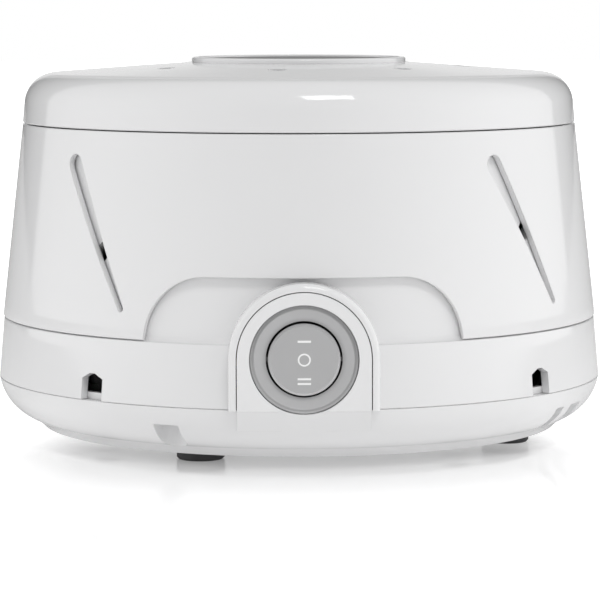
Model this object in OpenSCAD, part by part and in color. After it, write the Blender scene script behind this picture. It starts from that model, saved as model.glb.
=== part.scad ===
// White noise machine: a motor and a fan inside a fixed drum, with a collar and a
// cap that turn over the drum's slots and holes to change the sound.
// Millimetres. Origin on the turning axis, on the plane that the feet stand on.
// +Z is up and the switch faces -Y. Angles about Z start at the switch.

/* [Shell] */
// Diameter at the seam between pan and housing
base_d = 146; // [140:0.5:156]
// Height of the pan, up to its seam
pan_h = 11.9; // [11:0.1:14]
// Height of the fixed band above the seam
band_h = 14.3; // [13:0.1:17]
// Height of the turning collar
collar_h = 46.5; // [44:0.5:56]
// Height of the cap's straight side
cap_side_h = 5.3; // [4.5:0.1:8]
// Taper of the band and of the cap's side, in degrees
side_taper = 5; // [3:0.1:6]
// Taper of the collar, in degrees
collar_taper = 6.3; // [5:0.1:7]
// Radius of the cap's rounded shoulder
shoulder_r = 7.5; // [6.5:0.1:9]
// Rise of the cap's crown towards its middle, in degrees
crown_rise = 4.2; // [3:0.1:5]
// Wall of the moulded shells
wall = 2; // [1.8:0.1:2.4]
// Wall of the turning collar
collar_wall = 1.5; // [1.3:0.1:1.8]
// How far the collar stands proud of the band
collar_step = 0.2; // [0.1:0.05:0.4]
// Sideways gap between a turning shell and the fixed drum
run_gap = 0.4; // [0.3:0.05:0.6]
// Gap in the seams between shells that turn on each other
seam_gap = 0.3; // [0.25:0.05:0.5]

/* [Pan] */
// Thickness of the pan's floor
floor_t = 2.2; // [2:0.1:3]
// Radius of the pan's rounded side
pan_round_r = 12; // [11:0.5:16]
// Width taken up by the rounded side, up to the seam
pan_tuck = 8.5; // [7:0.1:9]
// Height and inset of the bevelled skirt under the rounded side
skirt = 2; // [1.5:0.1:2.5]
// Height of the lip that locates the housing
lip_h = 1.6; // [1:0.1:2]
// Width of the four recesses in the pan's side
recess_w = 6.2; // [5:0.1:7]
// Height of their ceiling above the pan's underside
recess_h = 7.7; // [6:0.1:8]
// Angle of the first recess and of the first foot, in degrees
recess_angle = -25.6; // [-30:0.2:-22]
// Angle of the narrow slot beside the recess on the right
slot_angle = 57.4; // [55:0.1:60]
// Width of that slot
slot_w = 3.4; // [2.5:0.1:4]

/* [Feet and screws] */
// Diameter of a rubber foot
foot_d = 11; // [10:0.5:13]
// How far a foot stands below the pan
foot_stand = 2.3; // [2:0.1:3]
// How deep a foot sits in its pocket
foot_pocket = 1; // [0.8:0.1:1.2]
// Distance of the feet's centres from the edge of the base
foot_inset = 19; // [18:0.5:23]
// Diameter of the self-tapping screws' shanks
screw_d = 2.9; // [2.5:0.1:3.2]
// Height of a screw's head
screw_head_h = 2; // [1.8:0.1:2.4]
// Diameter of a screw's head
screw_head_d = 5.6; // [5.2:0.1:6]
// Angle of the first housing screw, in degrees
housing_screw_angle = -52; // [-56:1:-48]

/* [Vents, slits and tone holes] */
// Width of a vent in the band
vent_w = 6.3; // [5:0.1:7]
// Height of a vent, up to its peak
vent_h = 6.2; // [5:0.1:8]
// Angle of the first vent
vent_angle = -41.2; // [-43:0.2:-39]
// Width of a collar slit at its top
slit_top_w = 4.3; // [2.5:0.1:4.5]
// Width of a collar slit at its foot
slit_foot_w = 1.4; // [0.8:0.1:1.8]
// Length of a slit between the centres of its round ends
slit_len = 36.6; // [30:0.1:37]
// Lean of the slits from the vertical, in degrees
slit_lean = 29; // [20:0.2:32]
// Angle of the first slit's middle
slit_angle = -42.4; // [-44:0.2:-41]
// Width of the slots in the drum behind the slits
drum_slot_w = 3.7; // [3:0.1:5]
// Lean of those slots the other way, in degrees
cross_lean = 37; // [25:0.5:40]
// Number of tone holes
tone_n = 8; // [6:1:10]
// Diameter of a tone hole
tone_d = 4.2; // [3:0.1:5]
// Distance of the tone holes from the disc's edge
tone_out = 13.5; // [10:0.2:16]
// Angle of the first tone hole
tone_angle = -8; // [-12:0.5:-4]

/* [Switch] */
// Height of the switch's axis above the seam
switch_h = 11.5; // [10.8:0.1:13]
// How far the switch panel's face stands in front of the seam
panel_proud = 2; // [1.6:0.1:3]
// Half the width of the panel, and the radius of its arch
panel_r = 14.9; // [14:0.1:15.5]
// Width of the rim around the panel
rim_w = 1.9; // [1.6:0.1:2.5]
// Diameter of the switch's bezel
bezel_d = 24; // [22.5:0.1:24]
// Diameter of the hole that the switch's barrel needs
cutout_d = 20.1; // [19:0.1:20.2]
// Diameter of the rocker's round face
rocker_d = 16; // [15:0.1:16.2]
// Depth of the bezel's face below the panel's face
bezel_sink = 1; // [0.6:0.1:1.4]
// Tilt of the rocker each way from its middle place, in degrees
rocker_tilt = 11; // [8:0.5:11]

/* [Turning] */
// Turn of the collar each way, in degrees
collar_turn = 15; // [10:0.5:18]
// Turn of the cap each way, in degrees
cap_turn = 22.5; // [15:0.5:25]

/* [Top] */
// Diameter of the disc in the middle of the cap
disc_d = 51.8; // [46:0.2:56]
// Height of the disc above its seat
disc_t = 1.5; // [1.2:0.1:2]
// Diameter of the post that the cap turns on
post_d = 10; // [8:0.5:12]

/* [Motor and fan] */
// Diameter of the rotor
rotor_d = 25; // [22:0.5:27]
// Height of the iron stack
stack_h = 16; // [12:0.5:18]
// Diameter of the shaft
shaft_d = 3.2; // [3:0.1:4]
// Height of the posts that carry the motor, above the pan's floor
motor_post_h = 7.5; // [6:0.5:9]
// Diameter of the fan
fan_d = 84; // [70:1:90]
// Height of the fan's blades
blade_h = 14; // [10:0.5:15]
// Number of blades
blade_n = 9; // [7:1:12]
// Diameter of an insulated wire
wire_d = 1.8; // [1.4:0.1:2]

/* [Hidden] */
$fn = 96;
white = [0.93, 0.93, 0.93];
grey = [0.68, 0.68, 0.69];
dark = [0.2, 0.2, 0.21];
steel = [0.62, 0.63, 0.65];
brass = [0.8, 0.66, 0.36];
copper = [0.75, 0.42, 0.25];
fit = 0.05;             // clearance all round a fitted piece
loose = 0.2;            // clearance all round a piece that is slipped in
press = 0.02;           // clearance all round a piece that is pressed on
screw_hole = screw_d + 2 * fit;
screw_pass = screw_d + 0.5;
quarter = [0, 90, 180, 270];

// Heights
z_pan = foot_stand;
z_floor = z_pan + floor_t;
z_skirt = z_pan + skirt;
z_seam = z_pan + pan_h;
z_ledge = z_seam + band_h;
z_collar_top = z_ledge + collar_h;
flange_t = 1.5;
z_drum_top = z_collar_top - flange_t - seam_gap;
z_cap = z_collar_top + seam_gap;
z_shoulder = z_collar_top + cap_side_h;
z_switch = z_seam + switch_h;

// Radii of the outer shells at a height z
base_r = base_d / 2;
function band_r(z) = base_r - (z - z_seam) * tan(side_taper);
function collar_r(z) = band_r(z_ledge) + collar_step - (z - z_ledge) * tan(collar_taper);
function drum_r(z) = collar_r(z) - collar_wall - run_gap;
function cap_r(z) = collar_r(z_collar_top) - (z - z_collar_top) * tan(side_taper);

// Points of an arc, and the centre of the arc of radius r that bulges from p to q
arc_steps = 10;
function arc(c, r, from, to) =
    [for (i = [0 : arc_steps]) c + r * [cos(from + (to - from) * i / arc_steps),
                                        sin(from + (to - from) * i / arc_steps)]];
function arc_centre(p, q, r) =
    let (d = q - p, half = norm(d) / 2)
    (p + q) / 2 + sqrt(r * r - half * half) * [-d.y, d.x] / norm(d);
function angle_of(v) = atan2(v.y, v.x);

// Cap: the shoulder ends in a crease where the crown begins
crease_angle = 81;
shoulder_c = [cap_r(z_shoulder) - shoulder_r * cos(side_taper),
              z_shoulder - shoulder_r * sin(side_taper)];
crease = shoulder_c + shoulder_r * [cos(crease_angle), sin(crease_angle)];
function crown_z(r) = crease.y + (crease.x - r) * tan(crown_rise);
disc_r = disc_d / 2;
tone_at = disc_r + tone_out;
well_r = disc_r - 1.4;
z_seat = crown_z(disc_r) - 0.3;
z_disc = z_seat + disc_t;
disc_edge = 0.5;
disc_rim = 1.4;
disc_dish = 0.5;
washer_t = 0.8;
z_screw_top = z_seat - 0.6;
z_post = z_screw_top - screw_head_h - washer_t;
z_well = z_post - seam_gap;
hub_len = 4;
deck_gap = 0.5;
z_dish = z_well - wall - hub_len - seam_gap;

// Pan
skirt_p = [base_r - pan_tuck, z_skirt];
pan_c = arc_centre(skirt_p, [base_r, z_seam], pan_round_r);
pan_a0 = angle_of(skirt_p - pan_c);
pan_a1 = angle_of([base_r, z_seam] - pan_c);
recess_wall = 1.5;
foot_at = base_r - foot_inset;
recess_end_r = base_r - pan_tuck + 0.1;
lip_r = base_r - wall - loose;
lip_w = 1.5;

// Switch panel, in front of the ring: s is a depth behind its face
face_at = base_r + panel_proud;
panel_t = 4.4;
bezel_t = 1.6;
bezel_seat = bezel_sink + bezel_t;
rim_r = panel_r + rim_w;
panel_gap = 0.2;
panel_crease = z_seam + 0.3;
panel_foot = z_seam - 4.8;
function at(s) = s - face_at;
rocker_gap = 0.5;
bezel_dish = 0.7;
bezel_lip = 0.5;
rocker_edge = 0.5;
rocker_s = 0.5;
pivot_r = 0.75;
pivot_s = bezel_sink + bezel_dish + 0.3 + fit + pivot_r;
pivot_reach = rocker_gap + 0.9;
barrel_r = cutout_d / 2 - 0.15;
barrel_end = 20;
cavity_r = barrel_r - 1.15;
cavity_start = pivot_s + pivot_r + fit + 0.5;

// Collar window: its foot clears the rim by the collar's own turn
window_rise = 0.8;
window_h = z_switch + rim_r + window_rise - z_ledge;
window_foot_angle = asin(rim_r / collar_r(z_ledge)) + collar_turn + 1.4;
window_corner_angle = window_foot_angle - asin(window_h / collar_r(z_ledge));

// A prism along Y through the front, from depth s0 to depth s1 behind the face
module front_prism(s0, s1) {
    translate([0, at(s1), 0]) rotate([90, 0, 0]) linear_extrude(s1 - s0) children();
}

// A round piece on the switch's axis
module front_round(r, s0, s1) {
    translate([0, at(s1), z_switch]) rotate([90, 0, 0]) cylinder(r = r, h = s1 - s0);
}

// A cone about the switch's axis, from radius r0 at depth s0 to radius r1 at depth s1
module front_cone(r0, r1, s0, s1) {
    translate([0, at(s1), z_switch]) rotate([90, 0, 0]) cylinder(r1 = r1, r2 = r0, h = s1 - s0);
}

// The switch panel's outline, seen from the front: an arch on straight legs
module arch_outline(r, foot) {
    intersection() {
        translate([0, z_switch]) circle(r);
        translate([-r, foot]) square([2 * r, z_switch - foot + r]);
    }
    translate([-r, foot]) square([2 * r, z_switch - foot]);
}

module around(first, r) {
    for (a = quarter) rotate([0, 0, first + a]) translate([0, -r, 0]) children();
}

// ---------------------------------------------------------------- pan

module pan_solid() {
    rotate_extrude() polygon(concat(
        [[0, z_pan], [skirt_p.x - skirt, z_pan]],
        arc(pan_c, pan_round_r, pan_a0, pan_a1),
        [[0, z_seam]]));
}

module pan_inside() {
    inner_r = pan_round_r - wall;
    top_x = pan_c.x + sqrt(inner_r * inner_r - pow(z_seam - pan_c.y, 2));
    top_a = angle_of([top_x, z_seam] - pan_c);
    rotate_extrude() polygon(concat(
        [[0, z_floor], [pan_c.x - 1, z_floor]],
        arc(pan_c, inner_r, -80, top_a),
        [[top_x, z_seam + 1], [0, z_seam + 1]]));
}

// A recess that opens outwards and downwards, with a round inner end
module radial_cut(w, inner, top) {
    translate([0, -inner - w / 2, z_pan - 1]) cylinder(d = w, h = top - z_pan + 1);
    translate([-w / 2, -base_r - 1, z_pan - 1])
        cube([w, base_r + 1 - inner - w / 2, top - z_pan + 1]);
}

// The pan as far out as the middle of its wall
module pan_core() {
    rotate_extrude() polygon(concat(
        [[0, z_pan + wall / 2]], arc(pan_c, pan_round_r - wall / 2, pan_a0, pan_a1), [[0, z_seam]]));
}

module recess_block(w, inner, top) {
    intersection() {
        radial_cut(w + 2 * recess_wall, inner - recess_wall, top + recess_wall);
        pan_core();
    }
}

module panel_lower() {
    depth = panel_t + 2;
    translate([-panel_r, 0, 0]) rotate([90, 0, 90]) linear_extrude(2 * panel_r) polygon([
        [at(0), z_switch], [at(0), panel_crease], [at(3.9), panel_foot],
        [at(depth), panel_foot], [at(depth), z_seam], [at(panel_t), z_seam],
        [at(panel_t), z_switch]]);
}

module switch_panel() {
    flange_s = 9;
    front_prism(0, panel_t) arch_outline(panel_r, z_seam);
    panel_lower();
    difference() {
        front_prism(panel_t, flange_s) arch_outline(panel_r, z_seam);
        front_prism(panel_t - 1, flange_s + 1) arch_outline(panel_r - 1.8, z_seam - 1);
    }
}

screw_seat_h = 5.7;
housing_screw_at = base_r - 15.5;
joint_h = 11.5;
module pan_bosses() {
    around(housing_screw_angle, housing_screw_at)
        translate([0, 0, z_pan]) cylinder(d = screw_head_d + 3, h = joint_h + z_floor - z_pan);
    for (x = [-1, 1], y = [-1, 1])
        translate([x * motor_foot_x, y * motor_foot_y, z_floor - 1])
            cylinder(r = motor_post_r, h = motor_post_h + 1);
}

module pan_holes() {
    around(housing_screw_angle, housing_screw_at) {
        translate([0, 0, z_pan - 1]) cylinder(d = screw_head_d + 0.6, h = screw_seat_h + 1);
        translate([0, 0, z_pan]) cylinder(d = screw_pass, h = joint_h + floor_t + 1);
    }
    for (x = [-1, 1], y = [-1, 1])
        translate([x * motor_foot_x, y * motor_foot_y, z_floor + 0.5])
            cylinder(d = screw_hole, h = motor_post_h);
    around(recess_angle, foot_at)
        translate([0, 0, z_pan - 1]) cylinder(d = foot_d + 0.4, h = foot_pocket + 1);
}

module base_pan() color(white) difference() {
    union() {
        difference() {
            pan_solid();
            pan_inside();
        }
        difference() {
            translate([0, 0, z_seam - 3]) cylinder(r = lip_r, h = lip_h + 3);
            translate([0, 0, z_seam - 4]) cylinder(r = lip_r - lip_w, h = lip_h + 5);
            translate([-rim_r - 1, -base_r, z_seam]) cube([2 * rim_r + 2, 2 * base_r, lip_h + 1]);
            around(housing_screw_angle, lip_r)
                translate([-3, -4, z_seam]) cube([6, 8, lip_h + 1]);
        }
        for (a = quarter) rotate([0, 0, recess_angle + a])
            recess_block(recess_w, recess_end_r, z_pan + recess_h);
        rotate([0, 0, slot_angle]) recess_block(slot_w, recess_end_r, z_pan + recess_h);
        switch_panel();
        pan_bosses();
    }
    for (a = quarter) rotate([0, 0, recess_angle + a])
        radial_cut(recess_w, recess_end_r, z_pan + recess_h);
    rotate([0, 0, slot_angle]) radial_cut(slot_w, recess_end_r, z_pan + recess_h);
    front_round(bezel_d / 2 + 0.15, -1, bezel_seat);
    front_round(cutout_d / 2, 0, panel_t + 1);
    pan_holes();
}

module rubber_feet() color(dark) around(recess_angle, foot_at) {
    cylinder(d1 = foot_d - 1, d2 = foot_d, h = 0.5);
    translate([0, 0, 0.5]) cylinder(d = foot_d, h = foot_stand + foot_pocket - 0.5);
}

module pan_head_screw(len, head_down = true) {
    rotate([head_down ? 0 : 180, 0, 0]) {
        translate([0, 0, -screw_head_h]) difference() {
            cylinder(d = screw_head_d, h = screw_head_h);
            translate([-0.4, -1.8, -1]) cube([0.8, 3.6, 1.9]);
            translate([-1.8, -0.4, -1]) cube([3.6, 0.8, 1.9]);
        }
        translate([0, 0, -0.01]) cylinder(d = screw_d, h = len);
    }
}

boss_top = z_ledge + 1;
module housing_screws() color(steel)
    around(housing_screw_angle, housing_screw_at)
        translate([0, 0, z_pan + screw_seat_h]) pan_head_screw(boss_top - z_pan - screw_seat_h - 4);

// ---------------------------------------------------------------- drum housing

flare_r = 1.6;
drum_lip_in = drum_r(z_drum_top) - wall - 12;
module housing_outside() {
    foot_r = drum_r(z_ledge);
    rotate_extrude() polygon(concat(
        [[0, z_seam], [base_r, z_seam], [band_r(z_ledge), z_ledge]],
        arc([foot_r + flare_r, z_ledge + flare_r], flare_r, 270, 180),
        [[drum_r(z_drum_top), z_drum_top], [0, z_drum_top]]));
}

module housing_inside() {
    rotate_extrude() polygon([
        [0, z_seam - 1], [base_r - wall, z_seam - 1], [base_r - wall, z_seam],
        [band_r(z_ledge) - wall, z_ledge - wall], [drum_r(z_ledge) - wall, z_ledge - wall],
        [drum_r(z_drum_top) - wall, z_drum_top - wall], [drum_lip_in, z_drum_top - wall],
        [drum_lip_in, z_drum_top + 1], [0, z_drum_top + 1]]);
}

// A slot that narrows from w1 at its top to w2 at its foot, with round ends
module slot_cutter(w1, w2, len, lean, depth) {
    a = asin((w1 - w2) / 2 / len);
    rotate([90, 0, 0]) rotate([0, 0, lean]) translate([0, 0, -depth / 2]) linear_extrude(depth)
        polygon(concat(arc([0, len / 2], w1 / 2, -a, 180 + a),
                       arc([0, -len / 2], w2 / 2, 180 + a, 360 - a)));
}

slit_z = z_ledge + collar_h / 2 - 0.35;
cross_z = slit_z - 2.9;
cross_turn = [1.2, -1];
drum_slot_len = slit_len - 9;
boss_rib = 2.4;
gland_z = z_seam + 6.2;
gland_r = 4.6;
pad_r = gland_r + 1.2;
pad_at = base_r + 0.1;
pad_in = band_r(gland_z) - wall - 1;

module vent_outline() {
    polygon([[-vent_w / 2, -1], [-vent_w / 2, vent_h - 1.2], [-vent_w / 8, vent_h],
             [vent_w / 8, vent_h], [vent_w / 2, vent_h - 1.2], [vent_w / 2, -1]]);
}

module housing_bosses() {
    around(housing_screw_angle, housing_screw_at)
        translate([0, 0, z_floor + joint_h]) cylinder(d = screw_d + 5, h = boss_top - z_floor - joint_h);
    for (a = quarter) rotate([0, 0, housing_screw_angle + a])
        translate([-boss_rib / 2, -base_r + wall + 0.5, z_seam + lip_h + 1])
            cube([boss_rib, base_r - housing_screw_at - wall, boss_top - z_seam - lip_h - 1]);
}

deck_screw_at = drum_lip_in + 4.5;
module drum_housing() color(white) difference() {
    union() {
        difference() {
            union() {
                housing_outside();
                front_prism(0, 10) arch_outline(rim_r, z_seam);
            }
            housing_inside();
        }
        translate([0, pad_in, gland_z]) rotate([-90, 0, 0]) cylinder(r = pad_r, h = pad_at - pad_in);
        intersection() {
            housing_bosses();
            housing_outside();
        }
    }
    front_prism(-1, 20) arch_outline(panel_r + panel_gap, z_seam - 1);
    around(housing_screw_angle, housing_screw_at)
        translate([0, 0, z_seam - 1]) cylinder(d = screw_hole, h = boss_top - z_seam);
    for (a = quarter) {
        rotate([0, 0, vent_angle + a]) translate([0, 0, z_seam])
            translate([0, -base_r + 6, 0]) rotate([90, 0, 0]) linear_extrude(8) vent_outline();
    }
    for (i = [0 : 3]) rotate([0, 0, slit_angle + 90 * i + cross_turn[i % 2]])
        translate([0, -collar_r(cross_z), cross_z])
            slot_cutter(drum_slot_w, drum_slot_w, drum_slot_len, -cross_lean, 16);
    translate([0, pad_at - 20, gland_z]) rotate([-90, 0, 0]) cylinder(r = gland_r + fit, h = 30);
    around(45, deck_screw_at)
        translate([0, 0, z_drum_top - wall - 1]) cylinder(d = screw_pass, h = wall + 2);
}

// ---------------------------------------------------------------- sound deck

neck_r = drum_r(z_drum_top) - 3.2;
deck_t = 1.8;
neck_round = 5;
dish_rim = well_r + wall + 2;
dish_r = dish_rim - 4.5;
function deck_z(r) = crown_z(r) - wall - deck_gap;
neck_c = [neck_r - neck_round, deck_z(neck_r - neck_round) - neck_round];
dish_slope = angle_of([dish_rim - dish_r, deck_z(dish_rim) - z_dish]);
stop_at = dish_r - 7;
stop_r = 1.5;
stop_h = 3;

module deck_profile(t) {
    polygon(concat(
        [[0, z_drum_top - (t > 0 ? 1 : 0)], [neck_r - t, z_drum_top - (t > 0 ? 1 : 0)]],
        arc(neck_c, neck_round - t, 0, 90),
        [[dish_rim + t * tan(dish_slope / 2), deck_z(dish_rim) - t],
         [dish_r + t * tan(dish_slope / 2), z_dish - t], [0, z_dish - t]]));
}

module sound_deck() color(white) difference() {
    union() {
        difference() {
            rotate_extrude() deck_profile(0);
            rotate_extrude() deck_profile(deck_t);
        }
        around(45, deck_screw_at) translate([0, 0, z_drum_top])
            cylinder(d = screw_d + 3.6, h = deck_z(deck_screw_at) - deck_t / 2 - z_drum_top);
        translate([0, 0, z_dish - deck_t]) cylinder(d = post_d, h = z_post - z_dish + deck_t);
        for (s = [-1, 1]) rotate([0, 0, 90 + s * (cap_turn + stop_swing)])
            translate([0, -stop_at, z_dish - 1]) cylinder(r = stop_r, h = stop_h + 1);
    }
    for (i = [0 : tone_n - 1]) rotate([0, 0, tone_angle + i * 360 / tone_n])
        translate([0, -tone_at, z_drum_top]) cylinder(d = tone_d, h = 30);
    around(45, deck_screw_at)
        translate([0, 0, z_drum_top - 1]) cylinder(d = screw_hole, h = 8);
    translate([0, 0, z_post - 10]) cylinder(d = screw_hole, h = 11);
}

deck_screw_len = 8;
module deck_screws() color(steel) around(45, deck_screw_at)
    translate([0, 0, z_drum_top - wall]) pan_head_screw(deck_screw_len);

// ---------------------------------------------------------------- collar

// The window's flat top ends in two quarter rounds, each cut square to the collar
module window_cutter() {
    far = base_r + 10;
    top = z_ledge + window_h;
    translate([0, 0, z_ledge - 1]) linear_extrude(top - z_ledge + 1) polygon([
        [0, 0], [-far * sin(window_corner_angle), -far * cos(window_corner_angle)],
        [far * sin(window_corner_angle), -far * cos(window_corner_angle)]]);
    for (s = [-1, 1]) rotate([0, 0, s * window_corner_angle]) translate([0, 0, z_ledge])
        rotate([90, 0, 0]) cylinder(r = window_h, h = far);
}

flange_in = neck_r + run_gap;
module collar() color(white) difference() {
    z0 = z_ledge + seam_gap;
    rotate_extrude() polygon([
        [collar_r(z0), z0], [collar_r(z_collar_top), z_collar_top], [flange_in, z_collar_top],
        [flange_in, z_collar_top - flange_t],
        [collar_r(z_collar_top - flange_t) - collar_wall, z_collar_top - flange_t],
        [collar_r(z0 + flare_r) - collar_wall, z0 + flare_r],
        [collar_r(z0) - collar_wall / 2, z0]]);
    window_cutter();
    for (a = quarter) rotate([0, 0, slit_angle + a]) translate([0, -collar_r(slit_z), slit_z])
        slot_cutter(slit_top_w, slit_foot_w, slit_len, slit_lean, 16);
}

// ---------------------------------------------------------------- cap

function post_bore() = post_d / 2 + fit;
hub_r = post_d / 2 + 3;
stop_swing = 2 * asin((2 * stop_r + 0.3) / 2 / stop_at);

module top_cap() color(white) difference() {
    union() {
        rotate_extrude() polygon(concat(
            [[cap_r(z_cap), z_cap]],
            arc(shoulder_c, shoulder_r, side_taper, crease_angle),
            [[disc_r + 0.15, crown_z(disc_r)], [disc_r + 0.15, z_seat], [well_r, z_seat],
             [well_r, z_well], [post_bore(), z_well], [post_bore(), z_well - wall - hub_len],
             [hub_r, z_well - wall - hub_len], [hub_r, z_well - wall],
             [well_r + wall, z_well - wall], [well_r + wall, crown_z(well_r + wall) - wall]],
            arc(shoulder_c, shoulder_r - wall, crease_angle, side_taper),
            [[cap_r(z_cap) - wall, z_cap]]));
        rotate([0, 0, 90]) translate([0, -stop_at, z_dish + seam_gap])
            cylinder(r = stop_r, h = z_well - wall / 2 - z_dish - seam_gap);
    }
    for (i = [0 : tone_n - 1]) rotate([0, 0, tone_angle + i * 360 / tone_n]) {
        translate([0, -tone_at, z_shoulder]) cylinder(d = tone_d, h = 20);
        translate([0, -tone_at, crown_z(tone_at) - 0.35]) cylinder(d1 = tone_d, d2 = tone_d + 1.4, h = 0.7);
    }
}

module cap_disc() color(white) {
    difference() {
        union() {
            translate([0, 0, z_seat]) cylinder(r = disc_r, h = disc_t - disc_edge);
            translate([0, 0, z_disc - disc_edge])
                cylinder(r1 = disc_r, r2 = disc_r - disc_edge, h = disc_edge);
        }
        translate([0, 0, z_disc - disc_dish]) cylinder(r = disc_r - disc_rim, h = disc_dish + 1);
    }
    translate([0, 0, z_seat - 2.8]) difference() {
        cylinder(r = well_r - loose, h = 2.81);
        translate([0, 0, -1]) cylinder(r = well_r - loose - 1.3, h = 3.8);
    }
}

washer_r = hub_r + 0.5;
module cap_washer() color(steel) translate([0, 0, z_post]) difference() {
    cylinder(r = washer_r, h = washer_t);
    translate([0, 0, -1]) cylinder(d = screw_hole, h = washer_t + 2);
}

module cap_screw() color(steel)
    translate([0, 0, z_post + washer_t]) pan_head_screw(9.5, false);

// ---------------------------------------------------------------- switch

terminal_z = [-6, 0, 6];
terminal_w = 4.8;
terminal_t = 0.8;
terminal_end = barrel_end + 7;
cavity_end = barrel_end - 4;
fulcrum_s = 12.2;
contact_t = 0.6;
blade_half = 5.9;
bead_r = 0.6;
contact_ratio = 0.7;
contact_s = fulcrum_s + blade_half * tan(rocker_tilt * contact_ratio) + 0.3;

module terminal_bar(z, s0, s1, grow = 0) {
    translate([-terminal_w / 2 - grow, at(s0), z_switch + z - terminal_t / 2 - grow])
        cube([terminal_w + 2 * grow, s1 - s0, terminal_t + 2 * grow]);
}

// The bezel's dished face runs from an outer lip down to the rocker's gap
module bezel_cone(lip_r, gap_r) {
    over = (lip_r - gap_r) / bezel_dish * bezel_sink;
    front_cone(lip_r + over, gap_r, 0, bezel_sink + bezel_dish);
}

module switch_body() color(grey) difference() {
    union() {
        front_round(bezel_d / 2, bezel_sink, bezel_seat);
        front_round(barrel_r, bezel_seat - 0.5, barrel_end);
        for (m = [0, 1]) translate([0, 0, z_switch]) mirror([0, 0, m])
            translate([-2, at(panel_t + fit), 0]) cube([4, 2.4, cutout_d / 2 + 0.7]);
    }
    front_round(rocker_d / 2 + rocker_gap, 0, cavity_end - 4);
    bezel_cone(bezel_d / 2 - bezel_lip, rocker_d / 2 + rocker_gap);
    front_round(cavity_r, cavity_start, cavity_end);
    for (x = [-1, 1]) translate([x * rocker_d / 2, at(pivot_s), z_switch])
        rotate([0, 90 * x, 0]) cylinder(r = pivot_r + fit, h = pivot_reach + 0.3);
    for (z = terminal_z) terminal_bar(z, cavity_end - 1, barrel_end + 1, fit);
}

stem_r = 2.2;
plunger_r = 1;
plunger_s = 8;
module switch_rocker() color(grey) difference() {
    union() {
        intersection() {
            union() {
                front_cone(rocker_d / 2 - rocker_edge, rocker_d / 2, rocker_s, rocker_s + rocker_edge);
                front_round(rocker_d / 2, rocker_s + rocker_edge, 5);
            }
            translate([-rocker_d / 2, at(pivot_s), z_switch]) rotate([0, 90, 0])
                cylinder(r = rocker_d / 2 + 0.2, h = rocker_d);
        }
        translate([-rocker_d / 2 - pivot_reach, at(pivot_s), z_switch]) rotate([0, 90, 0])
            cylinder(r = pivot_r, h = rocker_d + 2 * pivot_reach);
        front_round(stem_r, 4.5, plunger_s + 1);
    }
    front_round(plunger_r + fit, 4, plunger_s + 2);
}

module rocker_plunger() color(brass) {
    front_round(plunger_r, 4 + 0.3, fulcrum_s - contact_t - 0.2 - plunger_r);
    translate([0, at(fulcrum_s - contact_t - 0.2 - plunger_r), z_switch]) sphere(r = plunger_r);
}

module contact_blade() color(brass) {
    translate([-2, at(fulcrum_s), z_switch]) rotate([0, 90, 0]) cylinder(r = bead_r, h = 4);
    translate([-2, at(fulcrum_s - contact_t), z_switch - blade_half]) cube([4, contact_t, 2 * blade_half]);
    for (z = [-1, 1]) translate([0, at(fulcrum_s - 0.01), z_switch + z * (blade_half - 1.2)])
        rotate([-90, 0, 0]) cylinder(r = 1.1, h = 0.25);
}

module switch_terminals() color(brass) for (z = terminal_z) {
    head = z == 0 ? fulcrum_s + bead_r + 0.1 : contact_s;
    terminal_bar(z, head + (z == 0 ? 0 : 0.5), terminal_end);
    if (z != 0) translate([0, at(head), z_switch + z * 0.8])
        rotate([-90, 0, 0]) cylinder(r = 1.4, h = 1.6);
}

sleeve_end = terminal_end + 7;
module terminal_sleeves() color([0.85, 0.85, 0.8]) for (z = terminal_z) difference() {
    translate([-3.4, at(barrel_end + 1), z_switch + z - 1.7]) cube([6.8, sleeve_end - barrel_end - 1, 3.4]);
    terminal_bar(z, barrel_end, terminal_end + 0.2, fit);
    translate([0, at(terminal_end), z_switch + z]) rotate([-90, 0, 0])
        cylinder(d = wire_d + 2 * fit, h = 10);
}

// ---------------------------------------------------------------- cord inlet

cord_r = 2.75;
gland_flange = 1.9;
module cord_gland() color(white) translate([0, pad_at, gland_z]) rotate([-90, 0, 0]) difference() {
    union() {
        cylinder(r = pad_r - 0.2, h = gland_flange);
        translate([0, 0, -9]) cylinder(r = gland_r, h = 9.01);
    }
    translate([0, 0, -10]) cylinder(r = cord_r, h = 12 + gland_flange);
}

module gland_nut() color(white) translate([0, pad_in, gland_z]) rotate([90, 0, 0])
    difference() {
        cylinder(r = gland_r + 1.4, h = 2.2, $fn = 6);
        translate([0, 0, -1]) cylinder(r = gland_r + fit, h = 5);
    }

// ---------------------------------------------------------------- motor

motor_foot_x = 31;
motor_foot_y = 12;
motor_post_r = 3;
z_post_top = z_floor + motor_post_h;
grommet_r = 5;
plate_t = 2;
z_plate = z_post_top + 1.5;
z_grommet_top = z_plate + plate_t + 1.5;
spacer_h = 8.5;
z_stack = z_plate + plate_t + spacer_h;
z_stack_top = z_stack + stack_h;
z_bracket = z_stack_top + spacer_h;
clamp_x = 18;
bushing_r = 4;
bushing_h = 8;
z_bush_low = z_plate + plate_t - 2;
z_bush_high = z_bracket - bushing_h + 2;
end_ring_h = 2;
end_ring_w = 3.5;
thrust_t = 0.6;
shaft_r = shaft_d / 2;
shaft_clear = 0.5;
shaft_bevel = 0.4;
z_shaft = z_plate - 1;
z_fan = z_bracket + plate_t + 3;
z_shaft_top = z_fan + blade_h + 3;
core_x = 24;
core_front = -20;
core_back = 41;
leg_w = 12;
coil_t = 7;
bar_w = 14;
bushing_wall = 2;
grommet_groove = 1.5;

module motor_feet() {
    for (x = [-1, 1], y = [-1, 1]) translate([x * motor_foot_x, y * motor_foot_y, 0]) children();
}

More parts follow.
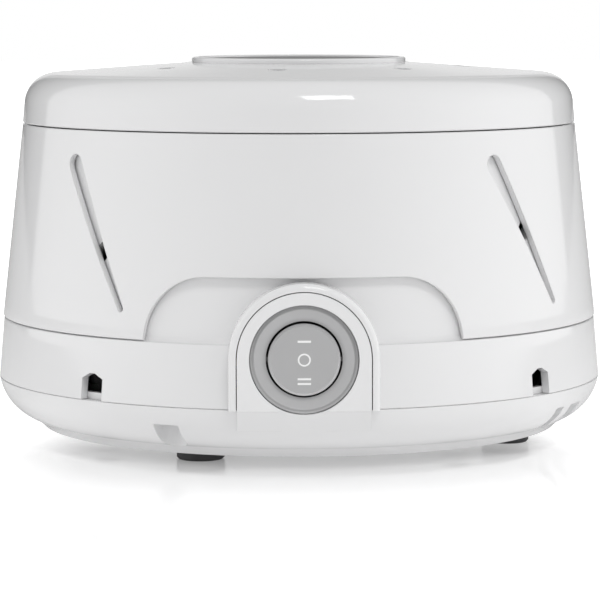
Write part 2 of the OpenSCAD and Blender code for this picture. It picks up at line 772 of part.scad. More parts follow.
module motor_grommets() color(dark) motor_feet() difference() {
    union() {
        translate([0, 0, z_post_top]) cylinder(r = grommet_r, h = z_plate - z_post_top);
        translate([0, 0, z_plate - 0.01]) cylinder(r = grommet_r - grommet_groove, h = plate_t + 0.02);
        translate([0, 0, z_plate + plate_t]) cylinder(r = grommet_r, h = z_grommet_top - z_plate - plate_t);
    }
    translate([0, 0, z_post_top - 1]) cylinder(r = screw_d / 2 + 0.2, h = 10);
}

module motor_screws() color(steel) motor_feet() translate([0, 0, z_grommet_top])
    pan_head_screw(z_grommet_top - z_floor - 1, false);

module motor_plate() color(steel) difference() {
    end_w = 2 * grommet_r + 1;
    translate([0, 0, z_plate]) union() {
        translate([-motor_foot_x, -bar_w / 2, 0]) cube([2 * motor_foot_x, bar_w, plate_t]);
        for (x = [-1, 1]) translate([x * motor_foot_x - end_w / 2, -motor_foot_y, 0])
            cube([end_w, 2 * motor_foot_y, plate_t]);
        motor_feet() cylinder(d = end_w, h = plate_t);
        cylinder(r = bushing_r + bushing_wall, h = bushing_h);
    }
    motor_feet() translate([0, 0, z_plate - 1])
        cylinder(r = grommet_r - grommet_groove + fit, h = plate_t + 2);
    translate([0, 0, z_bush_low]) cylinder(r = bushing_r + fit / 2, h = 20);
    translate([0, 0, z_plate - 1]) cylinder(r = shaft_r + shaft_clear, h = 10);
    for (x = [-1, 1]) translate([x * clamp_x, 0, z_plate - 1]) cylinder(d = screw_hole, h = 4);
}

module bushing(z) color(brass) translate([0, 0, z]) difference() {
    cylinder(r = bushing_r, h = bushing_h);
    translate([0, 0, -1]) cylinder(r = shaft_r + fit, h = bushing_h + 2);
}

module lower_bushing() bushing(z_bush_low);
module upper_bushing() bushing(z_bush_high);

module upper_bracket() color(steel) difference() {
    union() {
        translate([-clamp_x, -bar_w / 2, z_bracket]) cube([2 * clamp_x, bar_w, plate_t]);
        for (x = [-1, 1]) translate([x * clamp_x, 0, z_bracket]) cylinder(d = bar_w, h = plate_t);
        translate([0, 0, z_bush_high - 1])
            cylinder(r = bushing_r + bushing_wall, h = z_bracket + plate_t + 1 - z_bush_high);
    }
    translate([0, 0, z_bush_high - 10]) cylinder(r = bushing_r + fit / 2, h = bushing_h + 10);
    translate([0, 0, z_bracket - 1]) cylinder(r = shaft_r + shaft_clear, h = 10);
    for (x = [-1, 1]) translate([x * clamp_x, 0, z_bracket - 1]) cylinder(d = screw_hole, h = 4);
}

module bracket_screws() color(steel) for (x = [-1, 1]) translate([x * clamp_x, 0, z_plate])
    pan_head_screw(z_bracket + plate_t + 3 - z_plate);

module bracket_spacers() color(brass) for (x = [-1, 1], z = [z_plate + plate_t, z_stack_top])
    translate([x * clamp_x, 0, z]) difference() {
        cylinder(r = 3.2, h = spacer_h);
        translate([0, 0, -1]) cylinder(d = screw_hole, h = spacer_h + 2);
    }

rotor_gap = 0.5;
pole_r = rotor_d / 2 + rotor_gap;
shade_w = 2.4;
shade_h = 1.5;
shade_angles = [40, 220];
pole_ring = 6;
split_w = 2;
shade_deep = 3.5;
module stator_stack() color([0.45, 0.46, 0.48]) difference() {
    translate([0, 0, z_stack]) linear_extrude(stack_h) difference() {
        translate([-core_x, core_front]) square([2 * core_x, core_back - core_front]);
        window_y = pole_r + pole_ring;
        translate([-core_x + leg_w, window_y])
            square([2 * (core_x - leg_w), core_back - leg_w - window_y]);
        circle(pole_r);
        translate([-split_w / 2, 0]) square([split_w, window_y + 1]);
        for (a = shade_angles) rotate(a) translate([pole_r - 1, -shade_w / 2])
            square([shade_deep + 1, shade_w]);
    }
    for (x = [-1, 1]) translate([x * clamp_x, 0, z_stack - 1]) cylinder(d = screw_hole, h = stack_h + 2);
}

module shading_rings() color(copper) for (a = shade_angles) rotate([0, 0, a]) {
    bar = [shade_deep - 0.7, shade_w - 2 * loose, stack_h + 2 * shade_h];
    turn = [bar.x, 2 * shade_w + 5, shade_h - 0.1];
    translate([pole_r + 0.3, -bar.y / 2, z_stack - shade_h]) cube(bar);
    for (z = [z_stack - shade_h, z_stack_top + 0.1])
        translate([pole_r + 0.3, shade_w * 1.5 - turn.y, z]) cube(turn);
}

module leg_box(grow, x, zgrow) {
    translate([-x, core_back - leg_w - grow, z_stack - zgrow])
        cube([2 * x, leg_w + 2 * grow, stack_h + 2 * zgrow]);
}

bobbin_x = core_x - leg_w - 0.3;
bobbin_wall = 1.2;
module coil_bobbin() color(white) difference() {
    union() {
        leg_box(bobbin_wall, bobbin_x, bobbin_wall);
        for (s = [-1, 1]) translate([s * (bobbin_x - bobbin_wall / 2), 0, 0])
            leg_box(coil_t + 0.8, bobbin_wall / 2, coil_t + 0.8);
    }
    leg_box(fit, bobbin_x + 1, fit);
}

module coil_winding() color(copper) difference() {
    leg_box(coil_t, bobbin_x - bobbin_wall - 0.1, coil_t);
    leg_box(bobbin_wall + fit, bobbin_x, bobbin_wall + fit);
}

module rotor_core() color([0.45, 0.46, 0.48]) translate([0, 0, z_stack]) difference() {
    cylinder(d = rotor_d, h = stack_h);
    translate([0, 0, -1]) cylinder(r = shaft_r + press, h = stack_h + 2);
}

module rotor_end_rings() color([0.75, 0.75, 0.77])
    for (z = [z_stack - end_ring_h, z_stack_top]) translate([0, 0, z]) difference() {
        cylinder(d = rotor_d - 1, h = end_ring_h);
        translate([0, 0, -1]) cylinder(d = rotor_d - 1 - 2 * end_ring_w, h = end_ring_h + 2);
    }

module motor_shaft() color(steel) {
    translate([0, 0, z_shaft]) cylinder(r = shaft_r, h = z_shaft_top - z_shaft - shaft_bevel);
    translate([0, 0, z_shaft_top - shaft_bevel])
        cylinder(r1 = shaft_r, r2 = shaft_r - shaft_bevel, h = shaft_bevel);
}

module thrust_washers() color([0.5, 0.3, 0.15])
    for (z = [z_bush_low + bushing_h + 0.1, z_bush_high - thrust_t - 0.1]) translate([0, 0, z])
        difference() {
            cylinder(r = bushing_r - 0.6, h = thrust_t);
            translate([0, 0, -1]) cylinder(r = shaft_r + fit, h = thrust_t + 2);
        }

fan_hub_r = 6;
fan_floor = 1.5;
blade_t = 1.4;
blade_lean = 20;
blade_root = fan_hub_r + 6;
module fan() color([0.3, 0.3, 0.32]) translate([0, 0, z_fan]) difference() {
    union() {
        cylinder(d = fan_d, h = fan_floor);
        cylinder(r = fan_hub_r, h = blade_h);
        for (i = [0 : blade_n - 1]) rotate([0, 0, i * 360 / blade_n])
            translate([blade_root, 0, fan_floor / 2]) rotate([0, 0, blade_lean])
                translate([0, -blade_t / 2, 0])
                    cube([fan_d / 2 - blade_root - 3, blade_t, blade_h - fan_floor / 2]);
    }
    translate([0, 0, -1]) cylinder(r = shaft_r + press, h = blade_h + 2);
}

clip_t = 0.8;
module fan_clip() color(steel) translate([0, 0, z_fan + blade_h]) difference() {
    cylinder(r = shaft_r + 2, h = clip_t);
    translate([0, 0, -1]) cylinder(r = shaft_r + press, h = clip_t + 2);
}

// ---------------------------------------------------------------- wires

// A round tube along a smooth curve through points chosen by hand
wire_sides = 8;
function smooth(p, k) =
    [for (i = [1 : len(p) - 3], j = [0 : k - 1])
        let (t = j / k, a = p[i - 1], b = p[i], c = p[i + 1], d = p[i + 2])
        0.5 * (2 * b + (c - a) * t + (2 * a - 5 * b + 4 * c - d) * t * t
               + (3 * b - a - 3 * c + d) * t * t * t)];
function route(p, k) =
    let (n = len(p), q = concat([2 * p[0] - p[1]], p, [2 * p[n - 1] - p[n - 2]]))
    concat(smooth(q, k), [p[n - 1]]);
function unit(v) = v / norm(v);
function heading(c, i) = unit(c[min(i + 1, len(c) - 1)] - c[max(i - 1, 0)]);
function across(c, i, last) =
    let (t = heading(c, i), v = last - (last * t) * t, u = unit(v))
    i == len(c) - 1 ? [u] : concat([u], across(c, i + 1, u));
module wire(points, k = 4) {
    c = route(points, k);
    n = len(c);
    u = across(c, 0, [0.31, 0.17, 0.93]);
    rings = [for (i = [0 : n - 1], j = [0 : wire_sides - 1])
        let (a = 360 * j / wire_sides, w = cross(heading(c, i), u[i]))
        c[i] + wire_d / 2 * (cos(a) * u[i] + sin(a) * w)];
    skin = [for (i = [0 : n - 2], j = [0 : wire_sides - 1])
        let (a = i * wire_sides + j, b = i * wire_sides + (j + 1) % wire_sides)
        each [[a, a + wire_sides, b], [b, a + wire_sides, b + wire_sides]]];
    first = [for (j = [0 : wire_sides - 1]) j];
    last = [for (j = [wire_sides - 1 : -1 : 0]) (n - 1) * wire_sides + j];
    polyhedron(rings, concat([last], skin, [first]));
}

// A point of a lead's run round the motor, set in from the housing screws
function run(angle, inset, z) = let (r = housing_screw_at - inset) [r * sin(angle), -r * cos(angle), z];

wire_start = at(terminal_end + 1);
wire_out = at(sleeve_end + 0.5);
coil_tap_z = z_stack - coil_t - 0.8;
splice_z = z_floor + 2.6;
splice_y = 46;
wire_end = 8.5;

module lead_line() color("black") wire([
    [0, wire_start, z_switch], [0, wire_out, z_switch], [0, wire_out + 2.5, z_switch],
    [4, wire_out + 7, z_switch - 8],
    [24, -26, 9], run(76.6, 14.3, 8), run(100.3, 12.8, 8), run(131.6, 9.3, 8), [22, splice_y, splice_z],
    [13, splice_y, splice_z], [wire_end, splice_y, splice_z]]);
module lead_fast() color("firebrick") wire([
    [0, wire_start, z_switch + 6], [0, wire_out, z_switch + 6], [0, wire_out + 2.5, z_switch + 6],
    [-10, -28, 31], [-32, -18, 26], run(-95.4, 15.3, 20), run(-129.8, 10.6, 12), [-20, 37, 10],
    [-6, 35, coil_tap_z - 3],
    [-6, 35, coil_tap_z - 0.2]]);
module lead_slow() color("royalblue") wire([
    [0, wire_start, z_switch - 6], [0, wire_out, z_switch - 6], [0, wire_out + 2.5, z_switch - 6],
    [-10, -29, 16], run(-50.5, 13.5, 10), run(-85, 11.3, 8), run(-123, 9.8, 8), [-22, 31, 9],
    [0, 31, coil_tap_z - 3],
    [0, 31, coil_tap_z - 0.2]]);
module lead_return() color("white") wire([
    [6, 35, coil_tap_z - 0.2], [6, 35, coil_tap_z - 4], [0, 39, 10], [-17, 41, 8], [-18, splice_y, splice_z],
    [-13, splice_y, splice_z], [-wire_end, splice_y, splice_z]]);

splice_r = 2.6;
splice_tip = 3;
splice_len = 8;
splice_hole = 4;
module splice_caps() color([0.9, 0.9, 0.85]) for (s = [-1, 1])
    translate([s * splice_tip, splice_y, splice_z]) rotate([0, s * 90, 0]) difference() {
        cylinder(r = splice_r, h = splice_len);
        translate([0, 0, splice_len - splice_hole]) cylinder(r = wire_d / 2 + loose, h = splice_hole + 1);
    }

base_pan();
drum_housing();
sound_deck();
collar();
top_cap();
cap_disc();
cap_washer();
cap_screw();
rubber_feet();
housing_screws();
deck_screws();
switch_body();
switch_rocker();
rocker_plunger();
contact_blade();
switch_terminals();
terminal_sleeves();
cord_gland();
gland_nut();
motor_grommets();
motor_screws();
motor_plate();
lower_bushing();
upper_bushing();
upper_bracket();
bracket_screws();
bracket_spacers();
stator_stack();
shading_rings();
coil_bobbin();
coil_winding();
rotor_core();
rotor_end_rings();
motor_shaft();
thrust_washers();
fan();
fan_clip();
lead_line();
lead_fast();
lead_slow();
lead_return();
splice_caps();
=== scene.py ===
# %% [markdown]
# # A white noise machine, dressed
# A small motor turns a fan inside a closed white drum. A collar and a cap turn over the drum's own
# slots and holes, and the rushing air sounds brighter or duller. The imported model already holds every
# piece at its real size, so the first cell loads it as a fixed frame. All that follows only gives
# those pieces their finish, or swaps a plain shell for a smoother one in the same place.

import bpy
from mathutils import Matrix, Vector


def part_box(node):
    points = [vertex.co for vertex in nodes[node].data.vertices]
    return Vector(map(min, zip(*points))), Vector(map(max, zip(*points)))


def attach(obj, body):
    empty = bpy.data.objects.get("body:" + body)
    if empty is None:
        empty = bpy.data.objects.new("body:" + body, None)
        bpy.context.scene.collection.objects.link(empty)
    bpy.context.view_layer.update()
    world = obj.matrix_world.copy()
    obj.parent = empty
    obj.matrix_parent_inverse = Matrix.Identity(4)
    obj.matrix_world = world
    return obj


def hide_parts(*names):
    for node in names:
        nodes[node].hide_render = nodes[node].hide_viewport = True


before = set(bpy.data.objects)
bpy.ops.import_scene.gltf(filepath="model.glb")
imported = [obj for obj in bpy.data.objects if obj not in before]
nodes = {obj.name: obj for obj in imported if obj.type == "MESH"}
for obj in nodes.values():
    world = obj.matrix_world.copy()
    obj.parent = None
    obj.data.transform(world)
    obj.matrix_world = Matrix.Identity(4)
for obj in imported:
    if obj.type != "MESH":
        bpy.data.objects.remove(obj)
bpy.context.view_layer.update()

import bmesh
import bpy
import numpy as np
from math import pi, radians
from mathutils import Matrix, Vector

scene = bpy.context.scene

# %% [markdown]
# ## The camera
# The lens is long, so the drum's curves stay calm. The camera stands a little above the cap's height
# and looks slightly down, less than a degree away from square to the switch. It could be aimed by a
# constraint instead, but a product of matrices keeps every angle in plain sight: it turns the camera
# about the machine, walks back to the camera's place, tilts, and then levels the horizon.

# %% Camera
MM = 0.001
FRAME_PX = 600
FOCAL_PX = 3013.2
SENSOR = 36.0
CAMERA_AT = (0.24, -733.1, 106.03)
CAMERA_TURN, CAMERA_TILT, CAMERA_ROLL = radians(-0.9), radians(5.811), radians(-0.075)

camera = bpy.data.objects.new("camera", bpy.data.cameras.new("camera"))
camera.data.sensor_width = SENSOR
camera.data.lens = FOCAL_PX / FRAME_PX * SENSOR
camera.data.clip_end = 10
camera.matrix_world = (
    Matrix.Rotation(CAMERA_TURN, 4, "Z")
    @ Matrix.Translation([v * MM for v in CAMERA_AT])
    @ Matrix.Rotation(pi / 2 - CAMERA_TILT, 4, "X")
    @ Matrix.Rotation(CAMERA_ROLL, 4, "Z")
)
scene.collection.objects.link(camera)
scene.camera = camera
scene.view_settings.view_transform = "Standard"
print("lens", round(camera.data.lens, 1), "mm")

# %% [markdown]
# ## Shader maths in plain Python
# A finish is mostly a little arithmetic on coordinates. One small class wraps a socket and overloads
# the operators, so that a formula on sockets reads like a formula on numbers and adds its own Math
# nodes. Every other node comes from one function, which takes the node's type, its settings and its
# inputs. Wiring nodes by hand works too, but hides the formula behind the wires.


# %% A wrapped socket
class Link:
    """A node socket that takes part in arithmetic; each operator adds one Math node."""

    def __init__(self, tree, socket):
        self.tree = tree
        self.socket = socket

    def maths(self, operation, *others):
        inputs = {i: v for i, v in enumerate((self,) + others)}
        return node(self.tree, "ShaderNodeMath", {"operation": operation}, inputs)[0]

    def __add__(self, other):
        return self.maths("ADD", other)

    def __mul__(self, other):
        return self.maths("MULTIPLY", other)

    def __truediv__(self, other):
        return self.maths("DIVIDE", other)

    def __sub__(self, other):
        return self.maths("SUBTRACT", other)

    def __rsub__(self, other):
        return (self * -1) + other

    __radd__ = __add__
    __rmul__ = __mul__


def node(tree, kind, settings=None, inputs=None):
    """Adds a node, applies its settings, fills or links its inputs, and returns its outputs wrapped."""
    made = tree.nodes.new(kind)
    for name, value in (settings or {}).items():
        setattr(made, name, value)
    for key, value in (inputs or {}).items():
        if isinstance(value, Link):
            tree.links.new(value.socket, made.inputs[key])
        else:
            made.inputs[key].default_value = value
    return [Link(tree, socket) for socket in made.outputs]


print("sockets can be added, subtracted, multiplied and divided")


# %% [markdown]
# ## Finishes
# Moulded plastic is never one flat colour. Its gloss drifts a little, its skin has a faint ripple from
# the mould, and its corners are never quite sharp. The Bevel node looks sideways over an edge and
# rounds the normal there, so that every corner catches a thin line of light without extra faces.


# %% Starting and ending a finish
def fresh(name):
    """A new material with an empty tree, and the piece's own coordinates in metres."""
    material = bpy.data.materials.new(name)
    material.use_nodes = True
    tree = material.node_tree
    tree.nodes.clear()
    return material, tree, node(tree, "ShaderNodeTexCoord")[3]


def covered(material, surface):
    """The material with surface as the end of its tree."""
    node(surface.tree, "ShaderNodeOutputMaterial", None, {"Surface": surface})
    return material


def principled(material, tree, inputs):
    """The material with one Principled shader as its surface."""
    return covered(material, node(tree, "ShaderNodeBsdfPrincipled", None, inputs)[0])


def grey_of(value):
    """A colour with value in all three channels."""
    return node(value.tree, "ShaderNodeCombineXYZ", None, {0: value, 1: value, 2: value})[0]


def noise(place, scale, detail):
    """Noise from 0 to 1 with scale blobs to a metre."""
    return node(place.tree, "ShaderNodeTexNoise", None, {
        "Vector": place, "Scale": scale, "Detail": detail})[0]


print("a finish can be started and ended")


# %% Easing a value, and distances
def ramp(value, ends, levels=(0.0, 1.0)):
    """Eases from levels[0], where value is ends[0], to levels[1], where it is ends[1]."""
    return node(value.tree, "ShaderNodeMapRange", {"interpolation_type": "SMOOTHSTEP"}, {
        "Value": value, "From Min": ends[0], "From Max": ends[1],
        "To Min": levels[0], "To Max": levels[1]})[0]


def distance(place, scale, centre=(0, 0, 0)):
    """The length of place * scale - centre; a scale of 0 drops that axis."""
    flat = node(place.tree, "ShaderNodeVectorMath", {"operation": "MULTIPLY"}, {0: place, 1: scale})[0]
    arm = node(place.tree, "ShaderNodeVectorMath", {"operation": "SUBTRACT"}, {0: flat, 1: centre})[0]
    return node(place.tree, "ShaderNodeVectorMath", {"operation": "LENGTH"}, {0: arm})[1]


print("values can be eased, and distances read")


# %% A function for moulded plastic
RIPPLE_H = 0.2
FINER = 22


def finish(name, colour, rough, drift=0.04, tone=0.02, ripple=0.02, scale=60, edge=0.25, metallic=0.0):
    """
    Colour goes up and down by the share tone, and roughness by drift, with noise of a broad scale. A
    ripple FINER times finer and at most RIPPLE_H mm high lies on top, and edges are rounded by edge mm.
    """
    material, tree, place = fresh(name)
    broad, fine = noise(place, scale, 3.0), noise(place, scale * FINER, 2.0)
    lighter = [min(1, c * (1 + tone)) for c in colour] + [1]
    darker = [c * (1 - tone) for c in colour] + [1]
    paint = node(tree, "ShaderNodeMix", {"data_type": "RGBA"}, {0: broad, 6: darker, 7: lighter})[2]
    rounded = node(tree, "ShaderNodeBevel", {"samples": 4}, {"Radius": edge * MM})[0]
    skin = node(tree, "ShaderNodeBump", None, {
        "Strength": ripple, "Distance": RIPPLE_H * MM, "Height": fine, "Normal": rounded})[0]
    roughness = broad * (2 * drift) + (rough - drift)
    return principled(material, tree, {
        "Base Color": paint, "Roughness": roughness, "Normal": skin, "Metallic": metallic})


print("a ripple of", RIPPLE_H, "mm")

# %% [markdown]
# ## The greys of the switch
# The round switch is satin grey plastic. Its bezel dips towards the rocker, and a gap lies between
# the two. Painted light and shade sit in the grey: a painted shadow under the seat's upper edge on the
# bezel, painted shade beside the gap and down inside it, and a painted highlight along the rocker's
# lower rim. All of that goes round one axis, so the finish reads the distance to that axis and the depth
# behind the panel's face. Separate materials for each ring would need cuts in the imported mesh.

# %% A function for the ringed greys of the switch, with painted shade and highlight
GRAIN = 900.0
SATIN = 0.38
GRAIN_SHARE = 0.06
# INNER_LEVEL is painted shade beside the rocker's gap; GAP_LEVEL is painted shade down in the gap.
INNER_LEVEL = 0.86
GAP_LEVEL = 0.2
COOLER = 1.01


def round_grey(name, tone, inner, lip, shade, depth, slope):
    """
    Grey satin in rings about the switch's axis, all in mm, with painted light and shade in its colour.
    It has INNER_LEVEL of its tone inside inner, a painted shade beside the gap. Across lip it loses the
    share
    shade (foot, top): a painted shadow under the seat's upper edge, or with a share below zero a painted
    highlight; there it also rises by slope. It falls to GAP_LEVEL, a painted shade in the gap, between
    two depths behind the panel's face.
    """
    material, tree, place = fresh(name)
    low, high = [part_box("switch_body")[i][2] for i in (0, 1)]
    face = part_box("base_pan")[0][1]
    centre = (low + high) / 2
    x, y, z = node(tree, "ShaderNodeSeparateXYZ", None, {0: place})
    reach = distance(place, (1, 0, 1), (0, 0, centre)) / MM
    up, behind = (z - centre) / MM, (y - face) / MM
    grain, ring = noise(place, GRAIN, 2.0), ramp(reach, lip)
    # Painted shade: the lip darker towards the top, the tone dimmer inside inner, and dark down in the
    # gap.
    grey = 1 - ring * ramp(up, (-lip[1], lip[1]), shade)
    grey = grey * ramp(reach, inner, (INNER_LEVEL, 1.0)) * tone * ramp(behind, depth, (1.0, GAP_LEVEL))
    paint = node(tree, "ShaderNodeCombineXYZ", None, {0: grey, 1: grey, 2: grey * COOLER})[0]
    skin = node(tree, "ShaderNodeBump", None, {
        "Strength": 1.0, "Distance": slope * MM, "Height": ring + grain * 0.01})[0]
    return principled(material, tree, {
        "Base Color": paint, "Roughness": grain * GRAIN_SHARE + SATIN, "Normal": skin})


print("the grey in the gap is", GAP_LEVEL, "of its tone")

# %% Finishes of the outside
WHITE = (0.81, 0.81, 0.815)
gloss_white = finish("gloss_white", WHITE, 0.07, drift=0.02, tone=0.006, ripple=0.01)
collar_white = finish("collar_white", WHITE, 0.07, drift=0.02, tone=0.006, ripple=0.01, edge=0.45)
disc_grey = finish("disc_grey", (0.24, 0.24, 0.24), 0.75, tone=0.05, ripple=0.1)
inner_white = finish("inner_white", (0.72, 0.72, 0.71), 0.45)
# The bezel: a painted shadow across its lip, strongest at the top, and painted shade near and in the
# gap.
switch_grey = round_grey("switch_grey", 0.49, (8.5, 9.6), (11.0, 11.8), (0.0, 0.45), (1.9, 2.6), 0.6)
# The rocker: a painted highlight on its lower rim, a little painted shade at its top and in the gap.
rocker_grey = round_grey("rocker_grey", 0.44, (-2.0, -1.0), (7.2, 7.7), (-0.4, 0.1), (1.1, 1.8), 0.1)
mark_white = finish("mark_white", (0.93, 0.93, 0.93), 0.5, edge=0.05)
foot_rubber = finish("foot_rubber", (0.035, 0.035, 0.037), 0.62, tone=0.12, ripple=0.25, edge=0.4)
print(len(bpy.data.materials), "finishes so far")

# %% [markdown]
# ## Metals, nylon and insulation
# The pieces inside are seen only through the slits, but they go into the model all the same. Pressed
# steel gets fine brushed lines, the iron stack shows the edges of its sheets, and the coil shows its
# turns. Each line could be modelled, but there are hundreds, so a wave texture draws all three.


# %% A function for lined metal
LINE_H = 0.1


def lined(name, colour, rough, lines_per_mm, across="Z", depth=0.3, tone=0.12):
    """Fine parallel lines across one axis, from a wave texture that drives both tone and bump."""
    material, tree, place = fresh(name)
    wave = node(tree, "ShaderNodeTexWave", {"bands_direction": across}, {
        "Vector": place, "Scale": lines_per_mm / MM / 3.14, "Distortion": 0.4, "Detail": 1.0})[1]
    grain = noise(place, 300.0, 3.0)
    darker = [c * (1 - tone) for c in colour] + [1]
    lighter = list(colour) + [1]
    paint = node(tree, "ShaderNodeMix", {"data_type": "RGBA"}, {0: wave, 6: darker, 7: lighter})[2]
    skin = node(tree, "ShaderNodeBump", None, {
        "Strength": depth, "Distance": LINE_H * MM, "Height": wave})[0]
    return principled(material, tree, {
        "Base Color": paint, "Roughness": grain * 0.2 + rough, "Metallic": 1.0, "Normal": skin})


print("lines", LINE_H, "mm high")

# %% Finishes of the inside
screw_steel = lined("screw_steel", (0.62, 0.62, 0.64), 0.22, 1.5, depth=0.1)
plate_steel = lined("plate_steel", (0.55, 0.56, 0.58), 0.25, 2.0, across="X", depth=0.15)
core_steel = lined("core_steel", (0.33, 0.33, 0.35), 0.3, 2.0, depth=0.8, tone=0.4)
bright_brass = lined("bright_brass", (0.78, 0.6, 0.28), 0.2, 2.0, across="X", depth=0.1)
oiled_bronze = lined("oiled_bronze", (0.5, 0.33, 0.17), 0.35, 3.0, depth=0.3)
copper_turns = lined("copper_turns", (0.68, 0.3, 0.12), 0.2, 2.5, across="X", depth=0.9, tone=0.35)
cast_aluminium = finish("cast_aluminium", (0.7, 0.7, 0.72), 0.4, tone=0.06, ripple=0.3, metallic=1.0)
coil_nylon = finish("coil_nylon", (0.78, 0.76, 0.68), 0.45)
fibre_brown = finish("fibre_brown", (0.28, 0.13, 0.06), 0.7, tone=0.15, ripple=0.3)
fan_black = finish("fan_black", (0.06, 0.06, 0.065), 0.4, tone=0.1)
lead_black = finish("lead_black", (0.02, 0.02, 0.02), 0.4)
lead_red = finish("lead_red", (0.45, 0.03, 0.02), 0.4)
lead_blue = finish("lead_blue", (0.02, 0.06, 0.4), 0.4)
lead_white = finish("lead_white", (0.78, 0.78, 0.76), 0.4)
print(len(bpy.data.materials), "finishes in all")

# %% Which piece wears which
wearers = {
    gloss_white: ["base_pan", "drum_housing", "top_cap", "cap_disc"], collar_white: ["collar"],
    inner_white: ["sound_deck", "cord_gland", "gland_nut"],
    switch_grey: ["switch_body"], rocker_grey: ["switch_rocker"],
    foot_rubber: ["rubber_feet", "motor_grommets"],
    screw_steel: ["cap_washer", "cap_screw", "housing_screws", "deck_screws", "motor_screws",
                  "bracket_screws", "motor_shaft", "fan_clip"],
    plate_steel: ["motor_plate", "upper_bracket"],
    core_steel: ["stator_stack", "rotor_core"],
    bright_brass: ["rocker_plunger", "contact_blade", "switch_terminals", "bracket_spacers"],
    oiled_bronze: ["lower_bushing", "upper_bushing"],
    copper_turns: ["coil_winding", "shading_rings"],
    cast_aluminium: ["rotor_end_rings"],
    coil_nylon: ["coil_bobbin", "terminal_sleeves", "splice_caps"],
    fibre_brown: ["thrust_washers"], fan_black: ["fan"],
    lead_black: ["lead_line"], lead_red: ["lead_fast"],
    lead_blue: ["lead_slow"], lead_white: ["lead_return"],
}
for material, names in wearers.items():
    for name in names:
        nodes[name].data.materials.clear()
        nodes[name].data.materials.append(material)
print("undressed nodes:", sorted(set(nodes) - {n for names in wearers.values() for n in names}))

# %% [markdown]
# ## The table
# The machine stands on a white glossy table. In front of it the table mirrors the underside clearly and
# the mirror then fades, as a coated board does. One Principled shader would mirror evenly all over, so
# a white board and a mirror are mixed here, and the share of each changes with the place. The board's
# grey falls far from the machine and behind it, a painted shade that the machine's sides mirror. The
# board also glows a little, more in front than behind, which also lights the machine from below, and
# keeps the far table as white as the background.

# %% How the table changes with the place
# Each pair is where a ramp starts and stops, in metres: BEGINS along y, SIDES and STOPS from the middle
# plane, and the others from the axis. The levels that go with a pair stand beside it.
MIRROR_BEGINS = (0.0, -0.045)
MIRROR_SIDES, SIDE_SHARE = (0.05, 0.068), 0.45
MIRROR_STOPS = (0.07, 0.085)
MIRROR_FADES, MIRROR_SHARE = (0.065, 0.135), (0.6, 0.26)
MIRROR_ENDS = (0.15, 0.28)
MIRROR_ROUGH = 0.1
# The board's painted shade: its grey falls with the distance from the axis, and lower still behind.
BOARD_SHADE_FADES, BOARD_SHADE_GREY, BOARD_SHADE_BEHIND = (0.12, 0.5), (0.9, 0.5), 0.75
GLOW = (0.16, 0.39)
LIFT_RISES, CAMERA_LIFT, SIDE_LIFT = (0.08, 0.5), (0.06, 0.6), 0.64
FLOOR_HALF = 4.0
print("the mirror ends", MIRROR_ENDS[1], "m from the axis")


# %% Floor
def flat_square(half, z):
    """A square of side 2 * half at height z."""
    corners = np.array([(-half, -half, z), (half, -half, z), (half, half, z), (-half, half, z)])
    mesh = bpy.data.meshes.new("floor")
    mesh.from_pydata(corners.tolist(), [], [(0, 1, 2, 3)])
    return mesh


def table_finish():
    """
    A white board that glows a little, mixed with a mirror. The board's grey, a painted shade, falls with
    the distance from the axis and behind the object. The mirror's share is a product of ramps: it falls
    with the distance from the axis, beside the object and behind it.
    """
    material, tree, place = fresh("table_white")
    reach = distance(place, (1, 1, 0))
    x, y, z = node(tree, "ShaderNodeSeparateXYZ", None, {0: place})
    aside, ahead = x.maths("ABSOLUTE"), ramp(y, MIRROR_BEGINS)
    # Painted shade on the board: greyer far from the axis and behind the machine.
    grey = ramp(reach, BOARD_SHADE_FADES, BOARD_SHADE_GREY) * ramp(y, MIRROR_BEGINS, (BOARD_SHADE_BEHIND, 1.0))
    board = node(tree, "ShaderNodeBsdfDiffuse", None, {"Color": grey_of(grey)})[0]
    seen = node(tree, "ShaderNodeLightPath")[0]
    extra = ramp(reach, LIFT_RISES, CAMERA_LIFT) + (1 - ahead) * SIDE_LIFT
    lift = seen * extra + ramp(y, MIRROR_BEGINS, GLOW)
    glow = node(tree, "ShaderNodeEmission", None, {"Color": (1, 1, 1, 1), "Strength": lift})[0]
    white = node(tree, "ShaderNodeAddShader", None, {0: board, 1: glow})[0]
    mirror = node(tree, "ShaderNodeBsdfAnisotropic", None, {
        "Color": (1, 1, 1, 1), "Roughness": MIRROR_ROUGH})[0]
    middle = ramp(aside, MIRROR_SIDES, (1.0, SIDE_SHARE)) * ramp(aside, MIRROR_STOPS, (1.0, 0.0))
    share = ramp(reach, MIRROR_FADES, MIRROR_SHARE) * ramp(reach, MIRROR_ENDS, (1.0, 0.0))
    share = share * ahead * middle
    both = node(tree, "ShaderNodeMixShader", None, {0: share, 1: white, 2: mirror})[0]
    return covered(material, both)


floor = bpy.data.objects.new("floor", flat_square(FLOOR_HALF, 0.0))
floor.data.materials.append(table_finish())
scene.collection.objects.link(floor)
print("floor", 2 * FLOOR_HALF, "m wide")

# %% [markdown]
# ## The room and its lamp
# The room is a tent of white cloth: lit walls and ceiling in front, dark corners behind on both sides,
# and a white sheet straight behind. The dark corners draw the fine grey edge along both sides of a white
# body, and the line along its shoulder. One lamp gives the short glint on the cap. The camera itself
# sees the room as plain white. A picture of a real studio could light the piece as well, but here each
# wall of the room is a number with a name.

# %% How the room changes with the direction
# A direction is (x, y, z) with length 1, where y = 1 is straight behind the machine.
ROOM_LEAST = 0.04
ROOM_SIDES = 1.4
ROOM_RIGHT = 0.13
ROOM_CEILING = 0.45
TENT_ENDS = (0.60, 0.66)
SHEET_STARTS = (0.85, 0.91)
SHEET_WIDTH = (0.24, 0.16)
SHEET_LEVEL = 0.45
SHEET_FOOT, FOOT_EXTRA = (0.10, 0.20), (0.3, 0.0)
KEY_AT = (190, -750, 1001)
KEY_SIZE = (345, 280)
KEY_WATTS = 3.1
AIM = (0, 0, 45)
print("the lamp hangs", KEY_AT[2], "mm above the table")


